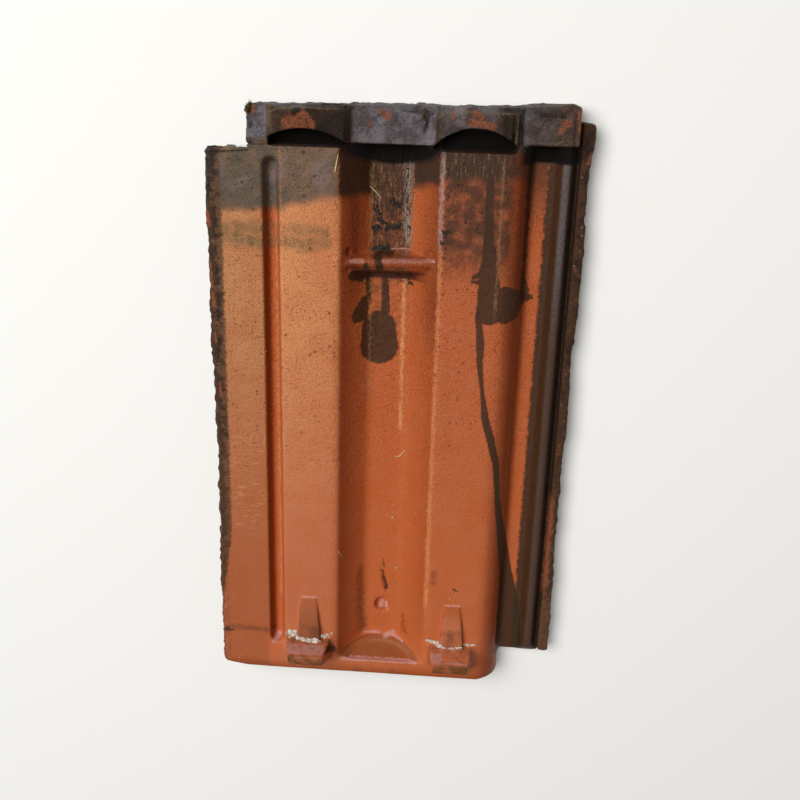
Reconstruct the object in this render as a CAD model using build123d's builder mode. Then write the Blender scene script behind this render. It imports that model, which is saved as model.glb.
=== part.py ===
from build123d import *
import os

# Interlocking clay roof tile, pressed in one piece and fired.
# The tile lies weather side down, as it would lie on a bench: the underside, with the two
# batten nibs, faces up. +Y runs from the head (nibs) to the foot (the edge that overlaps the
# next tile down the roof), +X from the under-lock flange to the cover roll.
# Stations across are counted from the left edge and gaps along from the head or the foot.
# Depths are counted down from the face, the flat plane of the panels' underside.

# overall
tile_length = 420.0
panel_thickness = 12.0
hollow_depth = 20.0

# widths across, from the left edge to the right one
lock_hollow_station = 42.8
lock_hollow_width = 12.0
left_channel_width = 38.4
trough_width = 67.4
right_channel_width = 40.4
cover_slope_run = 16.5
cover_panel_width = 14.8
cover_rib_width = 14.0
slit_width = 1.6
edge_strip_width = 8.1

# under-lock flange at the left
flange_thickness = 10.0
flange_width = 28.0
flange_foot_setback = 28.0
flange_end_bevel = 2.0
outer_bead_station = 13.5
outer_bead_width = 8.0
lock_rib_height = 8.0
lock_hollow_depth = 8.0
lock_hollow_draft = 24.0
lock_hollow_head_gap = 22.0
lock_hollow_foot_gap = 32.0
lock_wall = 4.0
bead_draft = 1.0
lock_rib_draft = 2.0

# central trough, which is the inside of the weather side's middle rib
trough_floor_width = 26.0
trough_head_gap = 11.6
trough_end_run = 11.4
rib_end_start_depth = 14.0
rib_end_run = 10.0

# cover roll at the right
cover_slope_bulge = 4.0
cover_rib_crest = 4.5
cover_rib_height = 8.0
cover_rib_end_run = 7.0
edge_strip_height = 4.5
roll_edge_bevel = 7.0
cover_head_setback = 17.0
strip_head_setback = 19.2
strip_foot_setback = 8.0

# foot: thick lip with two arches over the channels and sunk blocks between them
panel_end_gap = 25.5
block_gap = 23.2
block_depth = 7.0
block_edge_bevel = 3.0
right_block_gap = 21.0
right_block_depth = 8.0
right_block_offset = 2.5
lip_strip_gap = 2.5
left_arch_width = 53.1
left_arch_overlap = 7.3
left_arch_rise = 10.9
left_arch_outer_shoulder = 5.5
left_arch_inner_shoulder = 0.8
left_flank_run = 2.0
right_arch_width = 53.8
right_arch_overlap = 7.4
right_arch_rise = 14.6
right_arch_inner_shoulder = 2.3
right_arch_outer_shoulder = 3.0
flank_run = 4.3
arch_depth = 12.0
nose_thickening = 8.0
nose_length = 78.0
nose_ramp = 26.0

# tie bar across the trough
bar_foot_gap = 101.5
bar_crest_depth = 4.0
bar_thickness = 9.0
bar_base = 15.0
bar_crest_round = 3.8

# batten nibs and their pads
nib_bearing_gap = 30.5
nib_height = 22.0
nib_root_width = 34.5
nib_root_length = 18.0
nib_tip_width = 26.0
nib_tip_length = 7.0
nib_bearing_draft = 4.7
left_nib_offset = -0.8
right_nib_offset = 0.4
pad_foot_gap = 63.8
pad_rise = 5.0
pad_start_width = 11.0
pad_end_width = 17.0

# nail dimple in the trough floor
dimple_gap = 49.4
dimple_diameter = 12.4
dimple_depth = 4.5
dimple_draft = 18.0

# head dam on the weather side
dam_gap = 3.0
dam_width = 8.0
dam_height = 8.0
dam_draft = 1.0

# roundings
edge_round = 1.6
soft_round = 2.5
head_corner_round = 4.0
corner_round = 2.0

# how far a fused feature is rooted in the body, and how far a cut starts outside it
root = 1.0
clear = 2.0

# stations and heights that follow from the sizes above
trough_left_station = lock_hollow_station + lock_hollow_width / 2 + left_channel_width
trough_right_station = trough_left_station + trough_width
trough_station = trough_left_station + trough_width / 2
trough_run = (trough_width - trough_floor_width) / 2
panel_right_station = trough_right_station + right_channel_width
cover_floor_station = panel_right_station + cover_slope_run
cover_rib_station = cover_floor_station + cover_panel_width
cover_rib_flank = (cover_rib_width - cover_rib_crest) / 2
slit_station = cover_rib_station + cover_rib_width
strip_station = slit_station + slit_width
tile_width = strip_station + edge_strip_width
strip_depth = hollow_depth - edge_strip_height
lip_right_station = strip_station - lip_strip_gap
lock_half = lock_hollow_width / 2 + lock_wall
face_z = hollow_depth + panel_thickness
full_height = face_z + nib_height

left_arch_end = trough_left_station + left_arch_overlap
left_arch_start = left_arch_end - left_arch_width
right_arch_start = trough_right_station - right_arch_overlap
right_arch_end = right_arch_start + right_arch_width
left_nib_station = trough_left_station - left_channel_width / 2 + left_nib_offset
right_nib_station = trough_right_station + right_channel_width / 2 + right_nib_offset


def across(station):
    return station - tile_width / 2


def along(gap_from_head):
    return gap_from_head - tile_length / 2


def down(depth):
    return face_z - depth


def section_plane(gap_from_head):
    return Plane.XZ.offset(-along(gap_from_head))


def slope_shift(run, depth):
    return run * depth / hollow_depth


def wall_shift(run):
    return panel_thickness * (run**2 + hollow_depth**2) ** 0.5 / hollow_depth


def flank_shift(run):
    return run * (block_depth + clear) / block_depth


head_y = along(0)
foot_y = along(tile_length)
panel_end_y = foot_y - panel_end_gap
cover_head_y = head_y + cover_head_setback

# Weather-side flanks run parallel to the hollows' walls, one panel thickness away.
rib_left = trough_left_station - wall_shift(trough_run)
rib_right = trough_right_station + wall_shift(trough_run)
roll_left = panel_right_station - wall_shift(cover_slope_run)
channel = panel_thickness

# Points of the cross-section: the underside from left to right, then the weather side back.
underside = [
    (across(cover_floor_station), down(hollow_depth)),
    (across(cover_rib_station), down(hollow_depth)),
    (across(cover_rib_station + cover_rib_flank), down(hollow_depth - cover_rib_height)),
    (across(slit_station - cover_rib_flank), down(hollow_depth - cover_rib_height)),
    (across(slit_station), down(hollow_depth)),
    (across(strip_station), down(hollow_depth)),
    (across(strip_station), down(strip_depth)),
    (across(tile_width), down(strip_depth)),
]
roll = [
    (across(tile_width), roll_edge_bevel),
    (across(tile_width) - roll_edge_bevel, 0),
    (across(roll_left + slope_shift(cover_slope_run, face_z)), 0),
    (across(roll_left + slope_shift(cover_slope_run, channel)), down(channel)),
]
middle_rib = [
    (across(rib_right - slope_shift(trough_run, channel)), down(channel)),
    (across(rib_right - slope_shift(trough_run, face_z)), 0),
    (across(rib_left + slope_shift(trough_run, face_z)), 0),
    (across(rib_left + slope_shift(trough_run, channel)), down(channel)),
]
lock_rib = [
    (across(lock_hollow_station + lock_half + lock_rib_draft), down(channel)),
    (across(lock_hollow_station + lock_half), down(channel + lock_rib_height)),
    (across(lock_hollow_station - lock_half), down(channel + lock_rib_height)),
    (across(lock_hollow_station - lock_half - lock_rib_draft), down(flange_thickness)),
]
outer_bead = [
    (across(outer_bead_station + outer_bead_width / 2), down(flange_thickness)),
    (across(outer_bead_station + outer_bead_width / 2) - bead_draft, down(channel + lock_rib_height)),
    (across(outer_bead_station - outer_bead_width / 2) + bead_draft, down(channel + lock_rib_height)),
    (across(outer_bead_station - outer_bead_width / 2), down(flange_thickness)),
]
face_left = (across(0), down(0))
face_right = (across(panel_right_station), down(0))
flange_left = (across(0), down(flange_thickness))


def at_points(vertices, points):
    found = []
    for x, z in points:
        found.append(vertices.sort_by_distance((x, z, 0))[0])
    return found


def groove_outline(start, end, start_shoulder, end_shoulder, rise):
    Polyline(
        (across(start), panel_end_y + start_shoulder),
        (across(start), panel_end_y),
        (across(end), panel_end_y),
        (across(end), panel_end_y + end_shoulder),
    )
    ThreePointArc(
        (across(end), panel_end_y + end_shoulder),
        (across((start + end) / 2), panel_end_y + rise),
        (across(start), panel_end_y + start_shoulder),
    )


# Trough: trapezoid section, square at the foot block, sloping end wall at the head.
with BuildPart() as trough:
    with BuildSketch(section_plane(0)):
        with BuildLine():
            Polyline(
                (across(trough_left_station) - trough_run, down(-hollow_depth)),
                (across(trough_left_station + trough_run), down(hollow_depth)),
                (across(trough_right_station - trough_run), down(hollow_depth)),
                (across(trough_right_station) + trough_run, down(-hollow_depth)),
                close=True,
            )
        make_face()
    extrude(amount=-(tile_length - block_gap))
    with BuildSketch(Plane.YZ):
        with BuildLine():
            Polyline(
                (along(trough_head_gap) - 3 * trough_end_run, down(hollow_depth)),
                (along(trough_head_gap) + trough_end_run, down(hollow_depth)),
                (along(trough_head_gap) - trough_end_run, down(-hollow_depth)),
                (along(trough_head_gap) - 3 * trough_end_run, down(-hollow_depth)),
                close=True,
            )
        make_face()
    extrude(amount=tile_width, both=True, mode=Mode.SUBTRACT)

# Tie bar: a cross rib with a round crest, rooted in the trough's floor and walls.
bar_y = foot_y - bar_foot_gap
bar_root = 3 * root
with BuildPart() as tie_bar:
    with BuildSketch(Plane.YZ):
        with BuildLine():
            Polyline(
                (bar_y - bar_base / 2, down(hollow_depth + bar_root)),
                (bar_y + bar_base / 2, down(hollow_depth + bar_root)),
                (bar_y + bar_thickness / 2, down(bar_crest_depth)),
                (bar_y - bar_thickness / 2, down(bar_crest_depth)),
                close=True,
            )
        make_face()
    extrude(amount=tile_width / 2, both=True)
    crest = tie_bar.edges().filter_by(Axis.X).group_by(Axis.Z)[-1]
    fillet(crest, min(bar_crest_round, bar_thickness * 0.45))
    with BuildSketch(section_plane(0)):
        with BuildLine():
            Polyline(
                (across(trough_left_station) - bar_root, down(0)),
                (across(trough_left_station + trough_run) - bar_root, down(hollow_depth)),
                (across(trough_left_station + trough_run), down(hollow_depth + bar_root)),
                (across(trough_right_station - trough_run), down(hollow_depth + bar_root)),
                (across(trough_right_station - trough_run) + bar_root, down(hollow_depth)),
                (across(trough_right_station) + bar_root, down(0)),
                close=True,
            )
        make_face()
    extrude(amount=-tile_length, mode=Mode.INTERSECT)

# Pad: a wedge that rises from the panel to the root of a nib.
pad_length = pad_foot_gap - nib_bearing_gap
with BuildPart() as pad:
    with BuildSketch(Plane.YZ):
        with BuildLine():
            Polyline(
                (-nib_root_length / 2, -root),
                (pad_length, -root),
                (pad_length, 0),
                (0, pad_rise),
                (-nib_root_length / 2, pad_rise),
                close=True,
            )
        make_face()
    extrude(amount=pad_end_width, both=True)
    with BuildSketch(Plane.XY.offset(-root)):
        with BuildLine():
            Polyline(
                (-pad_end_width / 2, -nib_root_length / 2),
                (pad_end_width / 2, -nib_root_length / 2),
                (pad_end_width / 2, 0),
                (pad_start_width / 2, pad_length),
                (-pad_start_width / 2, pad_length),
                (-pad_end_width / 2, 0),
                close=True,
            )
        make_face()
    extrude(amount=pad_rise + root, mode=Mode.INTERSECT)

# Nib: a tapered lug whose foot side is the flat bearing face on the batten.
with BuildPart() as nib:
    with BuildSketch(Plane.YZ):
        with BuildLine():
            Polyline(
                (0, -root),
                (0, 0),
                (-nib_bearing_draft, nib_height),
                (-nib_bearing_draft - nib_tip_length, nib_height),
                (-nib_root_length, 0),
                (-nib_root_length, -root),
                close=True,
            )
        make_face()
    extrude(amount=nib_root_width, both=True)
    with BuildSketch(Plane.XZ):
        with BuildLine():
            Polyline(
                (-nib_root_width / 2, -root),
                (-nib_root_width / 2, 0),
                (-nib_tip_width / 2, nib_height),
                (nib_tip_width / 2, nib_height),
                (nib_root_width / 2, 0),
                (nib_root_width / 2, -root),
                close=True,
            )
        make_face()
    extrude(amount=2 * nib_root_length, both=True, mode=Mode.INTERSECT)
    fillet(nib.edges().group_by(Axis.Z)[-1], edge_round)

with BuildPart() as clay_tile:
    # body: section along the whole length
    with BuildSketch(section_plane(0)) as section:
        with BuildLine():
            Line(face_left, face_right)
            SagittaArc(face_right, underside[0], cover_slope_bulge)
            Polyline(*underside, *roll, *middle_rib, *lock_rib, *outer_bead, flange_left, face_left)
        make_face()
        fillet(at_points(section.vertices(), underside[2:4]), edge_round)
        fillet(at_points(section.vertices(), [face_left, flange_left]), soft_round)
        fillet(at_points(section.vertices(), roll[1:] + middle_rib + lock_rib[:1]), soft_round)
        fillet(at_points(section.vertices(), lock_rib[1:] + outer_bead[:3]), edge_round)
    extrude(amount=-tile_length)
    # nose: the channels thicken on the weather side towards the foot
    with BuildSketch(Plane.YZ.offset(across(lock_hollow_station))):
        with BuildLine():
            Polyline(
                (foot_y - nose_length, down(channel)),
                (foot_y - nose_length + nose_ramp, down(channel + nose_thickening)),
                (foot_y, down(channel + nose_thickening)),
                (foot_y, down(channel - root)),
                (foot_y - nose_length, down(channel - root)),
                close=True,
            )
        make_face()
    extrude(amount=panel_right_station - lock_hollow_station + cover_slope_run / 4)
    # head dam: a bead on the weather side that stops water at the top of each channel
    with BuildSketch(Plane.YZ.offset(across(lock_hollow_station))):
        with BuildLine():
            Polyline(
                (along(dam_gap), down(channel - root)),
                (along(dam_gap), down(channel + dam_height - dam_draft)),
                (along(dam_gap + dam_draft), down(channel + dam_height)),
                (along(dam_gap + dam_width - dam_draft), down(channel + dam_height)),
                (along(dam_gap + dam_width), down(channel - root)),
                close=True,
            )
        make_face()
    extrude(amount=panel_right_station - lock_hollow_station)
    # right block of the foot lip, closing the roll's hollow
    with BuildSketch(section_plane(tile_length - right_block_gap)):
        with BuildLine():
            Polyline(
                (across(panel_right_station), down(right_block_depth)),
                (across(lip_right_station), down(right_block_depth)),
                (across(lip_right_station), down(hollow_depth + clear)),
                (across(cover_floor_station), down(hollow_depth + clear)),
                close=True,
            )
        make_face()
    extrude(amount=-right_block_gap)
    # hollows
    add(trough.part, mode=Mode.SUBTRACT)
    add(tie_bar.part)
    lock_length = tile_length - lock_hollow_head_gap - lock_hollow_foot_gap
    with BuildSketch(Plane.XY.offset(down(0))):
        with Locations((across(lock_hollow_station), along(lock_hollow_head_gap) + lock_length / 2)):
            SlotOverall(lock_length, lock_hollow_width, rotation=90)
    extrude(amount=-lock_hollow_depth, taper=lock_hollow_draft, mode=Mode.SUBTRACT)
    # sunk blocks of the foot lip: left end and centre
    with BuildSketch(section_plane(tile_length - panel_end_gap)):
        with BuildLine():
            flank_foot = across(left_arch_start) - left_flank_run
            Polyline(
                (across(0), down(-clear)),
                (across(0), down(block_depth)),
                (flank_foot, down(block_depth)),
                (flank_foot + flank_shift(left_flank_run), down(-clear)),
                close=True,
            )
        make_face()
    extrude(amount=-panel_end_gap, mode=Mode.SUBTRACT)
    with BuildSketch(section_plane(tile_length - block_gap)):
        with BuildLine():
            Polyline(
                (across(left_arch_end) - flank_shift(flank_run), down(-clear)),
                (across(left_arch_end), down(block_depth)),
                (across(right_arch_start), down(block_depth)),
                (across(right_arch_start) + flank_shift(flank_run), down(-clear)),
                close=True,
            )
        make_face()
    extrude(amount=-block_gap, mode=Mode.SUBTRACT)
    # outer flank of the right arch, steeper than the roll's slope that it ends
    with BuildSketch(section_plane(tile_length - right_block_gap)):
        with BuildLine():
            flank_foot = across(right_arch_end + right_block_offset)
            Polyline(
                (flank_foot - flank_shift(flank_run), down(-clear)),
                (flank_foot, down(block_depth)),
                (flank_foot, down(right_block_depth)),
                (across(cover_floor_station), down(right_block_depth)),
                (across(cover_floor_station), down(-clear)),
                close=True,
            )
        make_face()
    extrude(amount=-right_block_gap, mode=Mode.SUBTRACT)
    # transverse groove behind each arch
    with BuildSketch(Plane.XY.offset(down(0))):
        with BuildLine():
            groove_outline(
                left_arch_start,
                left_arch_end,
                left_arch_outer_shoulder,
                left_arch_inner_shoulder,
                left_arch_rise,
            )
        make_face()
        with BuildLine():
            groove_outline(
                right_arch_start,
                right_arch_end,
                right_arch_inner_shoulder,
                right_arch_outer_shoulder,
                right_arch_rise,
            )
        make_face()
    extrude(amount=-arch_depth, mode=Mode.SUBTRACT)
    # head end of the middle rib slopes like the trough's end wall
    with BuildSketch(Plane.YZ.offset(across(rib_left))):
        with BuildLine():
            Polyline(
                (head_y, down(rib_end_start_depth)),
                (head_y + rib_end_run, 0),
                (head_y, 0),
                close=True,
            )
        make_face()
    extrude(amount=rib_right - rib_left, mode=Mode.SUBTRACT)
    # head end of the cover rib runs out to the cover panel
    with BuildSketch(Plane.YZ.offset(across(cover_rib_station))):
        with BuildLine():
            Polyline(
                (cover_head_y, down(hollow_depth)),
                (cover_head_y + cover_rib_end_run, down(hollow_depth - cover_rib_height)),
                (cover_head_y + cover_rib_end_run, down(0)),
                (cover_head_y, down(0)),
                close=True,
            )
        make_face()
    extrude(amount=cover_rib_width, mode=Mode.SUBTRACT)
    # outline seen from above
    flange_foot_y = foot_y - flange_foot_setback
    with BuildSketch(Plane.XY.offset(-root)) as outline:
        with BuildLine():
            Polyline(
                (across(0), head_y),
                (across(cover_floor_station), head_y),
                (across(cover_floor_station), cover_head_y),
                (across(strip_station), cover_head_y),
                (across(strip_station), head_y + strip_head_setback),
                (across(tile_width), head_y + strip_head_setback),
                (across(tile_width), foot_y - strip_foot_setback),
                (across(lip_right_station), foot_y - strip_foot_setback),
                (across(lip_right_station), foot_y),
                (across(flange_width), foot_y),
                (across(flange_width), flange_foot_y),
                (across(0), flange_foot_y),
                close=True,
            )
        make_face()
        fillet(at_points(outline.vertices(), [(across(0), head_y)]), head_corner_round)
        small_corners = [
            (across(cover_floor_station), head_y),
            (across(tile_width), head_y + strip_head_setback),
            (across(tile_width), foot_y - strip_foot_setback),
            (across(0), flange_foot_y),
        ]
        fillet(at_points(outline.vertices(), small_corners), corner_round)
    extrude(amount=full_height + 2 * root, mode=Mode.INTERSECT)
    # worn bevels along the foot edges of the blocks and the flange
    foot_edges = clay_tile.edges().filter_by(Axis.X).group_by(Axis.Y)[-1]
    lowest = down(right_block_depth + root)
    highest = down(block_depth - root)
    block_edges = foot_edges.filter_by_position(Axis.Z, lowest, highest)
    chamfer(block_edges, block_edge_bevel)
    with BuildSketch(Plane.YZ.offset(across(0))):
        with BuildLine():
            Polyline(
                (flange_foot_y - flange_end_bevel, down(0)),
                (flange_foot_y, down(flange_end_bevel)),
                (flange_foot_y + clear, down(flange_end_bevel)),
                (flange_foot_y + clear, down(0)),
                close=True,
            )
        make_face()
    extrude(amount=flange_width, mode=Mode.SUBTRACT)
    # nibs with their pads
    for station in (left_nib_station, right_nib_station):
        with Locations((across(station), along(nib_bearing_gap), down(0))):
            add(pad.part)
            add(nib.part)
    # nail dimple
    with BuildSketch(Plane.XY.offset(down(hollow_depth))):
        with Locations((across(trough_station), along(dimple_gap))):
            Circle(dimple_diameter / 2)
    extrude(amount=-dimple_depth, taper=dimple_draft, mode=Mode.SUBTRACT)

clay_tile.part.label = "clay_tile"
os.makedirs("parts", exist_ok=True)
export_step(clay_tile.part, "parts/clay_tile.step")
print("volume, litres:", clay_tile.part.volume / 1e6)
print("box:", clay_tile.part.bounding_box())
print("centre of mass:", clay_tile.part.center(CenterOf.MASS))
print("solids:", len(clay_tile.part.solids()))
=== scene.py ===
# %% [markdown]
# # A pressed clay roof tile, underside up
# The real object is one piece of fired clay: two flat panels with a trough between them, a hollow
# cover roll at the right, a thin flange at the left, two batten nibs at the head and a thick
# arched lip at the foot. The measured model gives every size. Here it gets its broken edges,
# pits and stains, which are too fine or too irregular for measured solids, and painted shade on
# its walls and painted highlights on its edges.

# %% Load the measured model
import math

import bpy
import numpy as np
from mathutils import Matrix, Vector


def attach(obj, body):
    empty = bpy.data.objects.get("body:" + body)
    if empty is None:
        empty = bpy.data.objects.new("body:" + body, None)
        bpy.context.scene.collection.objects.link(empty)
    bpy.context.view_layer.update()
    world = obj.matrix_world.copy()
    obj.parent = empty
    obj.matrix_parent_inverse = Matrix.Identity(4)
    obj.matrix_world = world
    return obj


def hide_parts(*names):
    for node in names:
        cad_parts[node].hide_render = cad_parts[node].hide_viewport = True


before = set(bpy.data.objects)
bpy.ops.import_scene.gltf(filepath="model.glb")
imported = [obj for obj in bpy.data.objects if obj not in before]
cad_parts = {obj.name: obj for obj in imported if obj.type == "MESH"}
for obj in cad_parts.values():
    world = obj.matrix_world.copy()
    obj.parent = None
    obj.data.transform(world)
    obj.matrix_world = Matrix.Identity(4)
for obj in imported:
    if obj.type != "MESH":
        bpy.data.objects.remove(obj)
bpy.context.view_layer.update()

# %% [markdown]
# ## Tile coordinates
# A tile maker counts across from the left edge, along from the head, and up or down from the
# face of the panels, all in millimetres. Every mark below is given that way, because a number
# such as "trough floor, 121 across, 49 along" can be checked with a ruler.

# %% Tile coordinates
TILE_WIDTH = 250.0
TILE_LENGTH = 420.0
FACE_HEIGHT = 32.0
MM = 0.001


def at(across, along, level=0.0):
    return Vector((across - TILE_WIDTH / 2, along - TILE_LENGTH / 2, level + FACE_HEIGHT)) * MM


def put_in_scene(name, data):
    made = bpy.data.objects.new(name, data)
    bpy.context.scene.collection.objects.link(made)
    return made


print("middle of the face:", at(TILE_WIDTH / 2, TILE_LENGTH / 2))

# %% [markdown]
# ## Camera
# The photograph looks down on the tile from above its foot, so the foot is at the top of the
# picture and the head with the nibs at the bottom. Place and aim were solved from the long edges
# and cross edges of the tile. A camera's own axes are right, up and backwards, so the three
# directions go straight into its matrix, which is easier to check than three turning angles.

# %% Camera
CAMERA_PLACE = (0.0439, 0.2570, 0.6797)
CAMERA_FORWARD = (-0.0546, -0.3486, -0.9357)
CAMERA_RIGHT = (0.9972, 0.0285, -0.0688)
SENSOR = 36.0
LENS = 45.0
NEAREST_SEEN = 0.01


def aim_camera(place, forward, right):
    camera = put_in_scene("camera", bpy.data.cameras.new("camera"))
    forward = Vector(forward).normalized()
    right = (Vector(right) - Vector(right).dot(forward) * forward).normalized()
    up = right.cross(forward)
    turn = Matrix((right, up, -forward)).transposed()
    camera.matrix_world = Matrix.Translation(place) @ turn.to_4x4()
    camera.data.sensor_width = SENSOR
    camera.data.lens = LENS
    camera.data.clip_start = NEAREST_SEEN
    return camera


camera = aim_camera(CAMERA_PLACE, CAMERA_FORWARD, CAMERA_RIGHT)
bpy.context.scene.camera = camera
print("camera turned to:", [round(math.degrees(a), 1) for a in camera.matrix_world.to_euler()])

# %% [markdown]
# ## Light
# The picture was taken under a soft open sky, brightest high up towards the foot and the left:
# walls that face the head or the right are dark, their opposites are brighter. One wide area lamp
# does that, and a dim even world stands for the rest of the sky. Several small lamps could be
# balanced to the same end, but each would add a hard highlight of its own.

# %% Light
KEY_TOWARDS = Vector((-0.46, 0.42, 1.0))
KEY_DISTANCE = 3.0
KEY_SIZE = 2.1
KEY_WATTS = 101.0
FILL_STRENGTH = 0.11
FILL_COLOUR = (1.0, 0.97, 0.93, 1.0)


def hang_lamp(name, towards, distance, size, watts):
    lamp = put_in_scene(name, bpy.data.lights.new(name, "AREA"))
    lamp.data.shape = "DISK"
    lamp.data.size = size
    lamp.data.energy = watts
    lamp.location = towards.normalized() * distance
    lamp.rotation_mode = "QUATERNION"
    lamp.rotation_quaternion = towards.to_track_quat("Z", "Y")
    return lamp


hang_lamp("sky lamp", KEY_TOWARDS, KEY_DISTANCE, KEY_SIZE, KEY_WATTS)
bpy.context.scene.view_settings.view_transform = "Standard"
print("lamp from:", tuple(round(v, 2) for v in KEY_TOWARDS.normalized()))

# %% [markdown]
# ## Short words for shader nodes
# A shader is a network, and writing each link in full hides what it does. This helper names the
# few moves that the materials use: add a node, calculate, mix two colours, or turn a value into
# a mask between two limits. Any input may be a number or another node's output.

# %% A wiring helper
def from_picture(red, green, blue):
    """A colour as a painter reads it off a picture, 0 to 255, turned into light."""
    parts = []
    for part in (red, green, blue):
        part = part / 255
        parts.append(part / 12.92 if part <= 0.04045 else ((part + 0.055) / 1.055) ** 2.4)
    return (*parts, 1.0)


class Wiring:
    def __init__(self, tree):
        self.tree = tree

    def node(self, kind, inputs=None, **settings):
        made = self.tree.nodes.new(kind)
        for key, value in settings.items():
            setattr(made, key, value)
        for key, value in (inputs or {}).items():
            self.feed(value, made.inputs[key])
        return made

    def feed(self, value, socket):
        if isinstance(value, bpy.types.NodeSocket):
            self.tree.links.new(value, socket)
        else:
            socket.default_value = value

    def math(self, operation, *values):
        inputs = dict(enumerate(values))
        return self.node("ShaderNodeMath", inputs, operation=operation).outputs[0]

    def held(self, value):
        """The value kept between 0 and 1."""
        return self.math("MINIMUM", self.math("MAXIMUM", value, 0.0), 1.0)

    def vector(self, operation, *values, output=0):
        inputs = dict(enumerate(values))
        return self.node("ShaderNodeVectorMath", inputs, operation=operation).outputs[output]

    def noise(self, point, size, detail=2.0, roughness=0.5, output=0):
        inputs = {"Vector": point, "Scale": 1 / size, "Detail": detail, "Roughness": roughness}
        return self.node("ShaderNodeTexNoise", inputs).outputs[output]

    def stretched(self, vector, factor):
        inputs = {0: vector, "Scale": factor}
        return self.node("ShaderNodeVectorMath", inputs, operation="SCALE").outputs[0]

    def scaled(self, value, factor, plus):
        """The value times the factor, with something added."""
        return self.math("MULTIPLY_ADD", value, factor, plus)

    def limits(self, value, low, high, bottom=0.0, top=1.0):
        """Smoothly from bottom, where the value is low, to top, where it is high."""
        inputs = {0: value, 1: low, 2: high, 3: bottom, 4: top}
        made = self.node("ShaderNodeMapRange", inputs, interpolation_type="SMOOTHSTEP")
        return made.outputs[0]

    def paint(self, under, over, mask, blend="MIX"):
        inputs = {0: mask, 6: under, 7: over}
        made = self.node("ShaderNodeMix", inputs, data_type="RGBA", blend_type=blend)
        return made.outputs[2]


def start_group(name, inputs, outputs):
    tree = bpy.data.node_groups.new(name, "ShaderNodeTree")
    for label, kind in inputs.items():
        tree.interface.new_socket(label, in_out="INPUT", socket_type=kind)
    for label, kind in outputs.items():
        tree.interface.new_socket(label, in_out="OUTPUT", socket_type=kind)
    wiring = Wiring(tree)
    entry = wiring.node("NodeGroupInput").outputs
    leave = wiring.node("NodeGroupOutput").inputs
    return wiring, entry, leave


def start_material(name):
    material = bpy.data.materials.new(name)
    material.use_nodes = True
    material.node_tree.nodes.clear()
    return material, Wiring(material.node_tree)


NUMBER = "NodeSocketFloat"
PLACE = "NodeSocketVector"
print("orange clay as light:", from_picture(184, 98, 58))

# %% [markdown]
# ## Floor and background
# The tile lies on a plain pale floor, so nothing competes with it. The lamp stays low enough for
# the clay's own colour, which would leave the floor grey, so the floor looks brighter to the
# camera and in reflections only. The world does the same behind it.

# %% Floor and background
FLOOR_COLOUR = from_picture(226, 225, 221)
FLOOR_SIZE = 6.0
SEEN_GLOW = 0.22


def seen_directly(wiring):
    rays = wiring.node("ShaderNodeLightPath").outputs
    either = wiring.math("MAXIMUM", rays["Is Camera Ray"], rays["Is Glossy Ray"])
    return wiring.math("MAXIMUM", either, rays["Is Transmission Ray"])


def make_floor():
    mesh = bpy.data.meshes.new("floor")
    h = FLOOR_SIZE / 2
    mesh.from_pydata([(-h, -h, 0), (h, -h, 0), (h, h, 0), (-h, h, 0)], [], [(0, 1, 2, 3)])
    floor = put_in_scene("floor", mesh)
    material, wiring = start_material("plain pale floor")
    dull = wiring.node("ShaderNodeBsdfDiffuse", {"Color": FLOOR_COLOUR})
    glow_strength = wiring.math("MULTIPLY", seen_directly(wiring), SEEN_GLOW)
    glow = wiring.node("ShaderNodeEmission", {"Color": FLOOR_COLOUR, "Strength": glow_strength})
    together = wiring.node("ShaderNodeAddShader", {0: dull.outputs[0], 1: glow.outputs[0]})
    wiring.node("ShaderNodeOutputMaterial", {"Surface": together.outputs[0]})
    mesh.materials.append(material)


def make_world():
    world = bpy.data.worlds.new("soft sky")
    world.use_nodes = True
    world.node_tree.nodes.clear()
    wiring = Wiring(world.node_tree)
    dim = wiring.node("ShaderNodeBackground", {"Color": FILL_COLOUR, "Strength": FILL_STRENGTH})
    pale = wiring.node("ShaderNodeBackground", {"Color": FLOOR_COLOUR, "Strength": 1.0})
    inputs = {0: seen_directly(wiring), 1: dim.outputs[0], 2: pale.outputs[0]}
    chosen = wiring.node("ShaderNodeMixShader", inputs)
    wiring.node("ShaderNodeOutputWorld", {"Surface": chosen.outputs[0]})
    bpy.context.scene.world = world


make_floor()
make_world()
print("floor and sky ready, seen glow", SEEN_GLOW)

# %% [markdown]
# ## Noise for shapes
# Broken clay has lumps of many sizes. Blender's own displacement textures would do, but shapes
# that are worked out in plain numbers come out the same on every run and can be limited to a
# place with a formula. This is value noise: a fixed scramble of the grid corner's number gives
# each corner a height, and a smooth blend fills the space between.

# %% Noise for shapes
def scrambled(ix, iy, iz, seed):
    n = (ix * 374761393 + iy * 668265263 + iz * 1440662683 + seed * 974711) & 0xFFFFFFFF
    n = ((n ^ (n >> 13)) * 1274126177) & 0xFFFFFFFF
    return ((n ^ (n >> 16)) & 0xFFFF) / 32767.5 - 1.0


def lumps(points, size, seed):
    """Smooth heights between -1 and 1, with lumps about size mm across."""
    scaled = points / size
    corner = np.floor(scaled).astype(np.int64)
    part = scaled - corner
    part = part * part * (3 - 2 * part)
    total = np.zeros(len(points))
    for dx in (0, 1):
        wx = part[:, 0] if dx else 1 - part[:, 0]
        for dy in (0, 1):
            wy = part[:, 1] if dy else 1 - part[:, 1]
            for dz in (0, 1):
                wz = part[:, 2] if dz else 1 - part[:, 2]
                height = scrambled(corner[:, 0] + dx, corner[:, 1] + dy, corner[:, 2] + dz, seed)
                total += wx * wy * wz * height
    return total


def ease(value, low, high):
    part = np.clip((value - low) / (high - low), 0, 1)
    return part * part * (3 - 2 * part)


def between(value, low, high, soft=1.0):
    return ease(value, low - soft, low + soft) * (1 - ease(value, high - soft, high + soft))


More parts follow.
